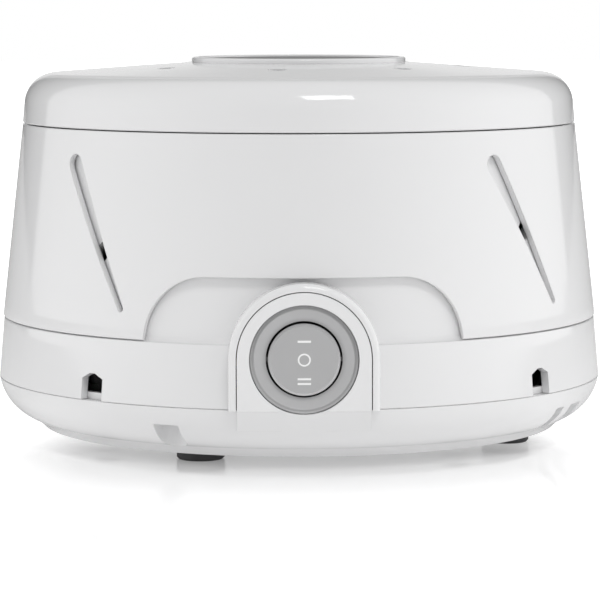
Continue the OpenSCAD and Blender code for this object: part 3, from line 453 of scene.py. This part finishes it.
# %% World
def room():
    """
    Brightness by direction (x, y, z): the tent is x * x * ROOM_SIDES with a little more towards the
    right and the ceiling, until y reaches TENT_ENDS. The sheet begins at SHEET_STARTS.
    """
    world = bpy.data.worlds.new("room")
    world.use_nodes = True
    tree = world.node_tree
    tree.nodes.clear()
    x, y, z = node(tree, "ShaderNodeSeparateXYZ", None, {0: node(tree, "ShaderNodeTexCoord")[0]})
    rays = node(tree, "ShaderNodeLightPath")
    seen, mirrored = rays[0], (rays[3] + rays[6]).maths("MINIMUM", 1.0)
    behind = ramp(y, TENT_ENDS)
    right, above = x.maths("MAXIMUM", 0.0), z.maths("MAXIMUM", 0.0)
    tent = x * x * ROOM_SIDES + right * ROOM_RIGHT + above * ROOM_CEILING
    sheet = ramp(z, SHEET_FOOT, FOOT_EXTRA) * mirrored + SHEET_LEVEL
    sheet = ramp(x.maths("ABSOLUTE"), SHEET_WIDTH) * sheet
    walls = tent * (1 - behind) + sheet * ramp(y, SHEET_STARTS) + ROOM_LEAST
    strength = walls * (1 - seen) + seen
    light = node(tree, "ShaderNodeBackground", None, {"Color": (1, 1, 1, 1), "Strength": strength})[0]
    node(tree, "ShaderNodeOutputWorld", None, {"Surface": light})
    return world


scene.world = room()
print("the room is made of", len(scene.world.node_tree.nodes), "shader nodes")


# %% Lamp
def softbox(name, place, size, watts, aim):
    """A rectangular lamp of size (width, height) in mm at place, with its face towards aim."""
    lamp = bpy.data.lights.new(name, "AREA")
    lamp.shape = "RECTANGLE"
    lamp.size, lamp.size_y = size[0] * MM, size[1] * MM
    lamp.energy = watts
    holder = bpy.data.objects.new(name, lamp)
    holder.location = Vector(place) * MM
    holder.rotation_euler = (Vector(place) - Vector(aim)).to_track_quat("Z", "Y").to_euler()
    scene.collection.objects.link(holder)


softbox("key", KEY_AT, KEY_SIZE, KEY_WATTS, AIM)

# %% [markdown]
# ## Surfaces from formulas
# Every shell here is a profile turned about an axis, or an outline carried along a line. Both are
# whole arrays of points: numpy makes the grid in one step, and the faces join neighbours on the grid.
# Lathe and sweep modifiers could do the same, but an array keeps each size in plain sight.


# %% Outlines
def arc(centre, radius, start, end, steps=8):
    """centre + radius * (cos a, sin a), with a running from start to end in degrees."""
    a = np.radians(np.linspace(start, end, steps + 1))
    return np.asarray(centre, float) + radius * np.stack([np.cos(a), np.sin(a)], 1)


def circle(radius, sides, at=(0, 0)):
    """A whole turn of arc: at + radius * (cos a, sin a) for sides equal angles a."""
    return arc(at, radius, 0, 360, sides)[:-1]


def joined(*runs):
    """Points and runs of points, one after another."""
    return np.concatenate([np.atleast_2d(np.asarray(run, float)) for run in runs])


def finer(profile, longest, closed=True):
    """The same outline with each stretch cut into equal steps no longer than longest."""
    ends = np.roll(profile, -1, 0) if closed else profile[1:]
    starts = profile if closed else profile[:-1]
    counts = np.maximum(1, np.ceil(np.linalg.norm(ends - starts, axis=1) / longest).astype(int))
    runs = [a + (b - a) * (np.arange(n) / n)[:, None] for a, b, n in zip(starts, ends, counts)]
    return joined(*runs) if closed else joined(*runs, profile[-1])


print("a circle of 4 points:", circle(1, 4).round(2).tolist())


# %% Faces on a grid, and a mesh from them
def grid_faces(rows, columns, wrap_rows=True):
    """Quads between neighbours i, i + 1 and j, j + 1 on a grid whose last column meets its first."""
    i, j = np.meshgrid(np.arange(rows - (not wrap_rows)), np.arange(columns), indexing="ij")
    i2, j2 = (i + 1) % rows, (j + 1) % columns
    corners = [i * columns + j, i * columns + j2, i2 * columns + j2, i2 * columns + j]
    return np.stack(corners, -1).reshape(-1, 4)


def solid(name, points, faces, caps=()):
    """A mesh object from an array of points in mm; doubles are merged and normals turned outwards."""
    mesh = bpy.data.meshes.new(name)
    mesh.from_pydata((points * MM).tolist(), [], faces.tolist() + [list(map(int, cap)) for cap in caps])
    work = bmesh.new()
    work.from_mesh(mesh)
    bmesh.ops.remove_doubles(work, verts=work.verts, dist=1e-7)
    bmesh.ops.recalc_face_normals(work, faces=work.faces)
    work.to_mesh(mesh)
    work.free()
    piece = bpy.data.objects.new(name, mesh)
    scene.collection.objects.link(piece)
    return piece


print("a grid of 3 by 3 that wraps has", len(grid_faces(3, 3)), "faces")


# %% Turned, extruded and swung shapes
def turned(name, profile, sides=288):
    """(r, z) turned about Z: the point (r sin a, -r cos a, z) for sides equal angles a."""
    a = np.linspace(0, 2 * pi, sides, endpoint=False)[:, None]
    r, z = profile[:, 0], profile[:, 1]
    points = np.stack([r * np.sin(a), -r * np.cos(a), z + 0 * a], -1).reshape(-1, 3)
    return solid(name, points, grid_faces(sides, len(profile)))


def prism(name, outline, start, end, place=np.asarray):
    """An outline (u, v) carried along w from start to end; place can put (u, v, w) elsewhere."""
    n = len(outline)
    flat = [np.column_stack([outline, np.full(n, w)]) for w in (start, end)]
    points = place(np.concatenate(flat))
    return solid(name, points, grid_faces(2, n, wrap_rows=False), [range(n), range(n, 2 * n)])


def rod(name, radius, start, end, at=(0, 0), sides=64):
    """An upright round rod about the point at."""
    return prism(name, circle(radius, sides, at), start, end)


def about_axis(points, degrees):
    """Points turned about Z, where a positive angle goes from the switch towards +X."""
    c, s = np.cos(radians(degrees)), np.sin(radians(degrees))
    x, y, z = points.T
    return np.stack([c * x - s * y, s * x + c * y, z], 1)


QUARTERS = (0, 90, 180, 270)


def around(first, radius):
    """Four points (x, y) a quarter turn apart at a radius; the first stands at an angle."""
    a = np.radians(first + np.array(QUARTERS))
    return [(radius * np.sin(v), -radius * np.cos(v)) for v in a]


print("four points around:", np.round(around(0, 1), 2).tolist())

# %% [markdown]
# ## Joining, cutting and dressing
# A vent or a screw hole is taken out of a shell by a Boolean, for good, so that the finished mesh holds
# its true openings. A live modifier shows them too, but needs its cutting tools kept in the scene.
# Shading is smooth below a crease angle and sharp above it. Each finished piece then rides on the body
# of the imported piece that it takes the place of.


# %% Booleans and the last step of a piece
def shape_with(piece, tools, operation="DIFFERENCE"):
    """Cuts or adds the tools to a piece for good, then takes the tools away."""
    for tool in tools:
        step = piece.modifiers.new("step", "BOOLEAN")
        step.object, step.operation, step.solver = tool, operation, "MANIFOLD"
    finished = piece.evaluated_get(bpy.context.evaluated_depsgraph_get())
    piece.modifiers.clear()
    piece.data = bpy.data.meshes.new_from_object(finished)
    for tool in tools:
        bpy.data.objects.remove(tool)
    return piece


CREASE = 32


def dress(piece, material, body, *replaced, slot=None):
    """Gives a finished piece its finish, soft shading below the crease angle, and its body."""
    piece.data.materials.clear()
    piece.data.materials.append(material)
    piece.data.shade_smooth()
    piece.data.set_sharp_from_angle(angle=radians(CREASE))
    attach(piece, body)
    if replaced:
        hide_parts(*replaced)
    print(piece.name, len(piece.data.polygons), "faces")


print("edges over", CREASE, "degrees stay sharp")

# %% [markdown]
# ## Sizes of the shells
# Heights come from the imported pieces, so the dressed shells cannot drift away from the solids. Tapers
# and walls are the moulder's own numbers: a shell needs a few degrees of draft to leave its mould, and
# the clearance FIT wherever one shell turns inside another. OVER is how far a cutting tool or a joined
# piece goes past the face it meets. All sizes from here on are in millimetres.


# %% Sizes in millimetres
def corner(name, which):
    """The lowest (0) or highest (1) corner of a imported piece, in mm."""
    return np.array(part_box(name)[which]) / MM


WALL = 2.0
PAN_FLOOR = 2.2
COLLAR_WALL = 1.5
COLLAR_STEP = 0.2
SEAM_GAP = 0.3
FIT = 0.2
OVER = 1
PAN_Z = corner("base_pan", 0)[2]
FLOOR_Z = PAN_Z + PAN_FLOOR
SEAM_Z = corner("drum_housing", 0)[2]
LEDGE_Z = corner("collar", 0)[2] - SEAM_GAP
COLLAR_TOP = corner("collar", 1)[2]
DRUM_TOP = COLLAR_TOP - COLLAR_WALL - SEAM_GAP
DISC_TOP = corner("cap_disc", 1)[2]
BASE_R = corner("drum_housing", 1)[0]
FACE_Y = corner("base_pan", 0)[1]
SWITCH_Z = (corner("switch_body", 0)[2] + corner("switch_body", 1)[2]) / 2
BAND_DRAFT = 5
BAND_SLOPE = np.tan(radians(BAND_DRAFT))
COLLAR_SLOPE = np.tan(radians(6.3))


def band_r(z):
    """Radius of the fixed band, which tapers from BASE_R at the seam."""
    return BASE_R - (z - SEAM_Z) * BAND_SLOPE


def collar_r(z):
    """Radius of the collar, a small step outside the band and with a steeper taper."""
    return band_r(LEDGE_Z) + COLLAR_STEP - (z - LEDGE_Z) * COLLAR_SLOPE


def drum_r(z):
    """Radius of the drum, which leaves the collar its wall and room on both sides to turn."""
    return collar_r(z) - COLLAR_WALL - 2 * FIT


def cap_r(z):
    """Radius of the cap, which goes on from the collar with the band's taper."""
    return collar_r(COLLAR_TOP) - (z - COLLAR_TOP) * BAND_SLOPE


print("seam", round(SEAM_Z, 2), "ledge", round(LEDGE_Z, 2), "switch", round(SWITCH_Z, 2))

# %% [markdown]
# ## The collar
# The turning collar is one tapered wall with a wide window over the switch and four slanted slits.
# It starts as a turned ring. The openings are prisms that a Boolean takes away: drawing them into the
# grid by hand would bend its rows, and the long soft reflections would bend with them.


# %% Outlines of slits and window
def round_slot(top_w, foot_w, length, lean):
    """A slot with round ends, wider at its top, leaning from the vertical by lean degrees."""
    a = np.degrees(np.arcsin((top_w - foot_w) / 2 / length))
    outline = joined(arc((0, length / 2), top_w / 2, -a, 180 + a),
                     arc((0, -length / 2), foot_w / 2, 180 + a, 360 - a))
    c, s = np.cos(radians(lean)), np.sin(radians(lean))
    return outline @ np.array([(c, s), (-s, c)])


def facing(degrees, z):
    """Puts (u, v, w) into space: u across, v up from z, w inwards from the axis, turned by degrees."""
    return lambda p: about_axis(np.column_stack([p[:, 0], p[:, 2], p[:, 1] + z]), degrees)


SLIT_DROP = 0.35
SLIT_Z = LEDGE_Z + (COLLAR_TOP - LEDGE_Z) / 2 - SLIT_DROP
SLIT_ANGLE = -42.4
SLIT_SIZE, SLIT_LEAN = (4.3, 1.4, 36.6), 29
PANEL_R, RIM_W = 14.9, 1.9
RIM_R = PANEL_R + RIM_W
COLLAR_TURN, WINDOW_SPARE, WINDOW_GAP = 15, 1.4, 0.8
WINDOW_H = SWITCH_Z + RIM_R + WINDOW_GAP - LEDGE_Z
WINDOW_FOOT = np.degrees(np.arcsin(RIM_R / collar_r(LEDGE_Z))) + COLLAR_TURN + WINDOW_SPARE
WINDOW_CORNER = WINDOW_FOOT - np.degrees(np.arcsin(WINDOW_H / collar_r(LEDGE_Z)))
OUTSIDE, INSIDE = BASE_R + 10, 50
print("the window reaches", round(float(WINDOW_FOOT), 1), "degrees to each side")

# %% Collar
low_z = LEDGE_Z + SEAM_GAP
edge, top_edge, foot_h = 0.3, 0.15, 1.6
under_flange = COLLAR_TOP - COLLAR_WALL
flange_in = drum_r(DRUM_TOP) - 3.2 + 2 * FIT
collar_profile = joined(
    (collar_r(low_z) - edge, low_z), arc((collar_r(low_z) - edge, low_z + edge), edge, -60, 0, 3),
    arc((collar_r(COLLAR_TOP) - top_edge, COLLAR_TOP - top_edge), top_edge, 0, 90, 3),
    (flange_in, COLLAR_TOP), (flange_in, under_flange),
    (collar_r(under_flange) - COLLAR_WALL, under_flange),
    (collar_r(low_z + foot_h) - COLLAR_WALL, low_z + foot_h),
    (collar_r(low_z) - COLLAR_WALL / 2, low_z))
collar = turned("collar_shell", finer(collar_profile, 3))
wedge = joined((0, 0), *[OUTSIDE * np.array([(np.sin(a), -np.cos(a))])
                         for a in np.radians((-WINDOW_CORNER, WINDOW_CORNER))])
tools = [prism("window_top", wedge, LEDGE_Z - OVER, LEDGE_Z + WINDOW_H)]
tools += [prism("window_corner", circle(WINDOW_H, 96), -OUTSIDE, 0, facing(s * WINDOW_CORNER, LEDGE_Z))
          for s in (-1, 1)]
slit = round_slot(*SLIT_SIZE, SLIT_LEAN)
tools += [prism("slit", slit, -OUTSIDE, -INSIDE, facing(SLIT_ANGLE + q, SLIT_Z)) for q in QUARTERS]
shape_with(collar, tools)
dress(collar, collar_white, "collar", "collar", slot="white_shell")

# %% [markdown]
# ## The drum housing
# Below the collar a fixed band carries the vents, and behind the collar the same moulding goes up as
# an inner drum with its own crossing slots. Its arched rim around the switch could be a flat plate with
# a Bevel modifier, but its legs run down into the taper of the band. Here a small section is carried up
# one leg, over the arch and down the other, so its soft outer edge runs without a break.


# %% Arch around the switch
def arch(radius, foot):
    """Outline (x, z): up the left leg, over a half circle about the switch, down the right leg."""
    return joined((-radius, foot), arc((0, SWITCH_Z), radius, 180, 0, 48), (radius, foot))


def rim(inner, outer, soft, depth=9):
    """
    A section (r, y) with a soft outer front edge, carried along the arch: the point of the section at
    angle a is (r cos a, y, SWITCH_Z + r sin a), and the two ends are the same section lower down.
    """
    section = joined((inner, FACE_Y + depth), (inner, FACE_Y + 0.2), (inner + 0.15, FACE_Y),
                     arc((outer - soft, FACE_Y + soft), soft, -90, 0, 8), (outer, FACE_Y + depth))
    turn = np.radians(np.concatenate([[180], np.linspace(180, 0, 65), [0]]))
    rise = np.full(len(turn), SWITCH_Z)
    rise[[0, -1]] = SEAM_Z + 0.06
    along = np.stack([np.cos(turn), np.sin(turn) * (rise == SWITCH_Z)], 1)
    x = along[:, :1] * section[:, 0]
    z = rise[:, None] + along[:, 1:] * section[:, 0]
    points = np.stack([x, np.broadcast_to(section[:, 1], x.shape), z], -1).reshape(-1, 3)
    n = len(section)
    caps = [range(n), range(len(points) - n, len(points))]
    return solid("rim", points, grid_faces(len(turn), n, wrap_rows=False), caps)


print("the arch is", round(float(SWITCH_Z + RIM_R), 1), "mm high")

# %% Sizes of the housing
DRUM_LIP = drum_r(DRUM_TOP) - WALL - 12
SCREW_AT, SCREW_ANGLE = BASE_R - 15.5, -52
BOSS_R, BOSS_FOOT = 3.95, FLOOR_Z + 11.5
GLAND_Z = (corner("cord_gland", 0)[2] + corner("cord_gland", 1)[2]) / 2
GLAND_R, PAD_R, PAD_Y = 4.65, 5.8, 68
VENT_ANGLE, VENT_DEPTH = -41.2, 6
VENT = np.array([(-3.15, -1), (-3.15, 5.0), (-0.8, 6.2), (0.8, 6.2), (3.15, 5.0), (3.15, -1)])
CROSS_SIZE, CROSS_LEAN, CROSS_TURN, CROSS_DROP = (3.7, 3.7, 27.6), 37, (1.2, -1), 2.9
FLARE, BAND_EDGE, GROOVE, RIM_SOFT = 1.6, 0.25, 0.14, 1.3
seam_top = SEAM_Z + 0.05
print("the drum's mouth is", round(float(2 * DRUM_LIP), 1), "mm wide")

# %% Housing
housing_profile = joined(
    (BASE_R - GROOVE, seam_top), (BASE_R - 0.02, seam_top + GROOVE),
    arc((band_r(LEDGE_Z) - BAND_EDGE, LEDGE_Z - BAND_EDGE), BAND_EDGE, 0, 90, 3),
    arc((drum_r(LEDGE_Z) + FLARE, LEDGE_Z + FLARE), FLARE, 270, 180, 8),
    (drum_r(DRUM_TOP), DRUM_TOP), (DRUM_LIP, DRUM_TOP), (DRUM_LIP, DRUM_TOP - WALL),
    (drum_r(DRUM_TOP) - WALL, DRUM_TOP - WALL), (drum_r(LEDGE_Z) - WALL, LEDGE_Z - WALL),
    (band_r(LEDGE_Z) - WALL, LEDGE_Z - WALL), (BASE_R - WALL, seam_top))
housing = turned("housing_shell", finer(housing_profile, 3))
shape_with(housing, [rim(PANEL_R, RIM_R, RIM_SOFT)], "UNION")
pad = prism("pad", circle(PAD_R, 64), 0, BASE_R + 0.1 - PAD_Y, facing(0, 0))
pad.data.transform(Matrix.Translation((0, PAD_Y * MM, GLAND_Z * MM)))
shape_with(housing, [pad], "UNION")
tools = [prism("arch", arch(PANEL_R + FIT, SEAM_Z - OVER), FACE_Y - OVER, FACE_Y + 20, facing(0, 0))]
tools += [prism("vent", VENT, -OUTSIDE, -BASE_R + VENT_DEPTH, facing(VENT_ANGLE + q, SEAM_Z))
          for q in QUARTERS]
cross = round_slot(*CROSS_SIZE, -CROSS_LEAN)
tools += [prism("drum_slot", cross, -OUTSIDE, -INSIDE,
                facing(SLIT_ANGLE + 90 * i + CROSS_TURN[i % 2], SLIT_Z - CROSS_DROP)) for i in range(4)]
tools += [prism("gland_hole", circle(GLAND_R, 64), 40, OUTSIDE, facing(0, GLAND_Z))]
shape_with(housing, tools)
screws_at = around(SCREW_ANGLE, SCREW_AT)
bosses = [rod("boss", BOSS_R, BOSS_FOOT, LEDGE_Z - WALL + OVER, at) for at in screws_at]
shape_with(housing, bosses, "UNION")
dress(housing, gloss_white, "housing", "drum_housing", slot="white_shell")

# %% [markdown]
# ## The pan
# The pan closes the drum from below. Its side rolls under in one round, down to a short bevelled
# skirt. Four wide recesses and a narrow one open outwards under the band. A cylinder with a rounded edge
# would come close, but the round ends at an angle on both sides, so its profile is worked out as one
# arc through the seam and the skirt. A block with a shape like the recess, cut to the inside of the pan,
# gives each recess its walls.


# %% Pan outlines
def centre_of_arc(p, q, radius):
    """The centre of the arc of a radius that bulges outwards from p to q."""
    d = q - p
    half = np.linalg.norm(d) / 2
    return (p + q) / 2 + np.sqrt(radius**2 - half**2) * np.array((-d[1], d[0])) / (2 * half)


def heading(v):
    """The angle of a direction, in degrees."""
    return np.degrees(np.arctan2(v[1], v[0]))


def notch(width, inner):
    """Outline (x, y) of a recess that opens outwards and ends in a half round towards the axis."""
    y = -inner - width / 2
    back = -BASE_R - OVER
    return joined(arc((0, y), width / 2, 0, 180, 12), (-width / 2, back), (width / 2, back))


def turned_by(degrees):
    """Turns points about the axis by degrees."""
    return lambda p: about_axis(p, degrees)


# %% Sizes of the pan
ROUND_R = 12.0
SKIRT = np.array((BASE_R - 8.5, PAN_Z + 2))
SEAM_EDGE = np.array((BASE_R, SEAM_Z))
ROUND_C = centre_of_arc(SKIRT, SEAM_EDGE, ROUND_R)
ROUND_START, ROUND_END = heading(SKIRT - ROUND_C), heading(SEAM_EDGE - ROUND_C)
RECESS_ANGLE, RECESS_W = -25.6, 6.2
RECESS_TOP, RECESS_END = PAN_Z + 7.7, BASE_R - 8.4
RECESS_WALL = 1.5
LEAF_ANGLE, LEAF_W = 57.4, 3.4
FOOT_AT, FOOT_POCKET_R = BASE_R - 19, 5.7
POST_R, POST_H, POST_X, POST_Y = 3.0, 7.5, 31, 12
PAN_BOSS_R, HEAD_R, HEAD_DEPTH, SHANK_R = 4.3, 3.1, 5.7, 1.7
LIP_R, LIP_W, LIP_H = BASE_R - WALL - FIT, 1.5, 1.6
seam_foot = SEAM_Z - 0.03
print("the side's round turns through", round(float(ROUND_END - ROUND_START)), "degrees")

# %% Pan
inner_round = ROUND_R - WALL
inner_top = ROUND_C[0] + np.sqrt(inner_round**2 - (SEAM_Z - ROUND_C[1]) ** 2)
pan_profile = joined(
    (0, PAN_Z), (SKIRT[0] - 2, PAN_Z), arc(ROUND_C, ROUND_R, ROUND_START, ROUND_END - 0.7, 28),
    (BASE_R - GROOVE, seam_foot), (inner_top, seam_foot),
    arc(ROUND_C, inner_round, heading((inner_top, SEAM_Z) - ROUND_C), -80, 16),
    (ROUND_C[0] - 1, FLOOR_Z), (0, FLOOR_Z))
pan = turned("pan_shell", finer(pan_profile, 5, closed=False))
core_profile = joined((0, PAN_Z + 1), arc(ROUND_C, ROUND_R - 1, ROUND_START, ROUND_END, 16), (0, SEAM_Z))
blocks = []
cuts = [(RECESS_ANGLE + q, RECESS_W) for q in QUARTERS] + [(LEAF_ANGLE, LEAF_W)]
for angle, width in cuts:
    outline = notch(width + 2 * RECESS_WALL, RECESS_END - RECESS_WALL)
    block = prism("block", outline, PAN_Z - OVER, RECESS_TOP + RECESS_WALL, turned_by(angle))
    blocks.append(shape_with(block, [turned("core", core_profile, 96)], "INTERSECT"))
blocks += [rod("boss", PAN_BOSS_R, PAN_Z + 1, BOSS_FOOT, at) for at in screws_at]
blocks += [rod("post", POST_R, FLOOR_Z - OVER, FLOOR_Z + POST_H, (POST_X * i, POST_Y * j))
           for i in (-1, 1) for j in (-1, 1)]
shape_with(pan, blocks, "UNION")
print("the pan has", len(blocks), "blocks, bosses and posts inside")

# %% Lip that centres the drum on the pan
lip = turned("lip", joined((LIP_R, SEAM_Z - 3), (LIP_R, SEAM_Z + LIP_H),
                           (LIP_R - LIP_W, SEAM_Z + LIP_H), (LIP_R - LIP_W, SEAM_Z - 3)))
gap_x = RIM_R + 1
across = np.array([(-gap_x, -BASE_R), (gap_x, -BASE_R), (gap_x, BASE_R), (-gap_x, BASE_R)])
shape_with(lip, [prism("gap", across, SEAM_Z, SEAM_Z + 3)])
shape_with(pan, [lip], "UNION")
print("the lip stands", LIP_H, "mm above the seam")

# %% [markdown]
# ## The switch panel
# The panel that holds the switch is part of the same moulding as the pan: an arch on straight legs,
# whose foot slopes back to meet the round. It is an extruded outline joined to a second one, turned on
# its side, because two plain prisms keep its broad front exactly flat. The holes are cut last, so that
# they go through all that was joined before.

# %% Switch panel
PANEL_WALL, FOOT_DEPTH, FOOT_DROP = 4.4, 6.4, 4.8
panel = prism("panel", arch(PANEL_R, SEAM_Z), FACE_Y, FACE_Y + PANEL_WALL, facing(0, 0))
side = FACE_Y + np.array([0, 0, 3.9, FOOT_DEPTH, FOOT_DEPTH, PANEL_WALL, PANEL_WALL])
low = SEAM_Z - FOOT_DROP
height = [SWITCH_Z, SEAM_Z + 0.3, low, low, SEAM_Z, SEAM_Z, SWITCH_Z]
foot = prism("foot", np.column_stack([side, height]), -PANEL_R, PANEL_R,
             lambda p: np.column_stack([p[:, 2], p[:, 0], p[:, 1]]))
shape_with(panel, [foot], "UNION")
shape_with(pan, [panel], "UNION")
print("the panel's foot goes", FOOT_DROP, "mm below the seam")

# %% Holes in the pan
BEZEL_R, BEZEL_SEAT, BARREL_R = 12.15, 2.6, 10.05
here = facing(0, SWITCH_Z)
tools = [prism("bezel_seat", circle(BEZEL_R, 128), FACE_Y - OVER, FACE_Y + BEZEL_SEAT, here),
         prism("barrel_hole", circle(BARREL_R, 128), FACE_Y, FACE_Y + 6, here)]
tools += [prism("recess", notch(width, RECESS_END), PAN_Z - OVER, RECESS_TOP, turned_by(angle))
          for angle, width in cuts]
tools += [rod("foot_pocket", FOOT_POCKET_R, PAN_Z - OVER, PAN_Z + 1, at)
          for at in around(RECESS_ANGLE, FOOT_AT)]
tools += [rod("head_pocket", HEAD_R, PAN_Z - OVER, PAN_Z + HEAD_DEPTH, at) for at in screws_at]
tools += [rod("screw_hole", SHANK_R, PAN_Z, FLOOR_Z + 13, at) for at in screws_at]
shape_with(pan, tools)
dress(pan, gloss_white, "housing", "base_pan", slot="white_shell")

# %% [markdown]
# ## The cap
# The cap's shoulder is a true round that stops at a fine crease, where the shallow crown begins. A
# subdivided cylinder would blur that crease, so the profile has the arc and the straight line as they
# are. Eight tone holes pierce the crown, and a pin below it limits how far the cap turns.

# %% Shoulder and crown
SHOULDER_R, SHOULDER_END = 7.5, 81
CROWN_SLOPE = np.tan(radians(4.2))
shoulder_z = COLLAR_TOP + 5.3
shoulder_c = (cap_r(shoulder_z) - SHOULDER_R * np.cos(radians(BAND_DRAFT)),
              shoulder_z - SHOULDER_R * np.sin(radians(BAND_DRAFT)))
end = radians(SHOULDER_END)
crease = np.array(shoulder_c) + SHOULDER_R * np.array((np.cos(end), np.sin(end)))


def crown_z(r):
    """Height of the crown, which rises from the crease in a straight line."""
    return crease[1] + (crease[0] - r) * CROWN_SLOPE


print("the crease is", round(float(crease[0]), 1), "mm from the axis")

# %% Cap
DISC_R = corner("cap_disc", 1)[0]
WELL_R = DISC_R - 1.4
DISC_GAP = 0.15
TONE_AT, TONE_R, TONE_TURN = DISC_R + 13.5, 2.1, -8
STOP_R, STOP_X, STOP_DROP = 1.5, 17, 1
HUB_R, HUB_WALL_R, HUB_H = 5.05, 8, 4
cap_z = COLLAR_TOP + SEAM_GAP
seat_z = crown_z(DISC_R) - 0.3
well_z = corner("cap_washer", 0)[2] - SEAM_GAP
cap_profile = joined(
    (cap_r(cap_z) - 0.2, cap_z), (cap_r(cap_z) - 0.02, cap_z + 0.2),
    arc(shoulder_c, SHOULDER_R, BAND_DRAFT, SHOULDER_END, 20),
    (DISC_R + DISC_GAP, crown_z(DISC_R)), (DISC_R + DISC_GAP, seat_z), (WELL_R, seat_z),
    (WELL_R, well_z), (HUB_R, well_z), (HUB_R, well_z - WALL - HUB_H),
    (HUB_WALL_R, well_z - WALL - HUB_H), (HUB_WALL_R, well_z - WALL),
    (WELL_R + WALL, well_z - WALL), (WELL_R + WALL, crown_z(WELL_R + WALL) - WALL),
    arc(shoulder_c, SHOULDER_R - WALL, SHOULDER_END, BAND_DRAFT, 10), (cap_r(cap_z) - WALL, cap_z))
cap = turned("cap_shell", finer(cap_profile, 3))
shape_with(cap, [rod("stop", STOP_R, cap_z - STOP_DROP, well_z - OVER, (STOP_X, 0), 32)], "UNION")
tools = []
for turn in np.radians(TONE_TURN + np.arange(8) * 45):
    at = (TONE_AT * np.sin(turn), -TONE_AT * np.cos(turn))
    tools.append(rod("tone", TONE_R, shoulder_z, shoulder_z + 20, at, 40))
shape_with(cap, tools)
dress(cap, gloss_white, "cap", "top_cap", slot="white_shell")

# %% [markdown]
# ## The disc
# A disc with a shallow dish closes the middle of the cap and hides the screw that the cap turns on. A
# thin grey plate lies in the dish. It could be a change of colour on the disc, but as a piece of its own
# it keeps a clean edge.

# %% Disc
DISH = 0.5
FIELD_R = DISC_R - 1.4
OUTER_EDGE, INNER_EDGE = 0.5, 0.2
disc_profile = joined(
    (0, seat_z), (DISC_R, seat_z),
    arc((DISC_R - OUTER_EDGE, DISC_TOP - OUTER_EDGE), OUTER_EDGE, 0, 90, 6),
    arc((FIELD_R + INNER_EDGE, DISC_TOP - INNER_EDGE), INNER_EDGE, 90, 180, 4),
    (FIELD_R, DISC_TOP - DISH), (0, DISC_TOP - DISH))
disc = turned("disc_shell", finer(disc_profile, 4, closed=False))
dress(disc, gloss_white, "cap", "cap_disc", slot="white_disc")

# %% Grey field in the dish
PLATE_H, PLATE_RISE, PLATE_GAP = 0.1, 0.06, 0.1
field_top, field_r = DISC_TOP - DISH + PLATE_RISE, FIELD_R - PLATE_GAP
field_profile = joined((0, field_top - PLATE_H), (field_r, field_top - PLATE_H),
                       (field_r, field_top), (0, field_top))
field = turned("disc_field", finer(field_profile, 4, closed=False))
dress(field, disc_grey, "cap", slot="switch_grey")

# %% [markdown]
# ## The marks on the rocker
# A bar, a ring and a double bar are printed on the rocker: first speed, off, second speed. A mask in the
# rocker's finish could draw them, but their edges would be soft in a close view. They are thin plates
# that stand a few hundredths above its face, so they tilt with it and stay crisp.

# %% Outlines of the marks
ROCKER_Y = corner("switch_rocker", 0)[1]
MARK_H, MARK_SINK = 0.03, 0.05
RING_R, RING_HOLE_R = 1.45, 1.08
BAR_W = 2.97
BARS = ((0.48, 4.07), (0.45, -4.25), (0.45, -5.3))


def bar(width, height, z):
    """A flat plate on the rocker's face, centred at height z above the switch's axis."""
    outline = np.array([(-1, -1), (1, -1), (1, 1), (-1, 1)]) * (width / 2, height / 2) + (0, z)
    return prism("bar", outline, ROCKER_Y - MARK_H, ROCKER_Y + MARK_SINK, facing(0, SWITCH_Z))


def ring(outer, inner):
    """A flat ring about the switch's axis: the section (r, y) goes to (r cos a, y, r sin a)."""
    section = np.array([(outer, -MARK_H), (outer, MARK_SINK), (inner, MARK_SINK), (inner, -MARK_H)])
    a = np.linspace(0, 2 * pi, 64, endpoint=False)[:, None]
    x, z = section[:, 0] * np.cos(a), section[:, 0] * np.sin(a)
    points = np.stack([x, ROCKER_Y + section[:, 1] + 0 * a, SWITCH_Z + z], -1).reshape(-1, 3)
    return solid("ring", points, grid_faces(64, 4))


print("a ring and", len(BARS), "bars, each", MARK_H, "mm above the face")

# %% Marks
marks = ring(RING_R, RING_HOLE_R)
for mark in [bar(BAR_W, height, z) for height, z in BARS]:
    shape_with(marks, [mark], "UNION")
marks.name = "rocker_marks"
dress(marks, mark_white, "rocker", slot="rocker_grey")
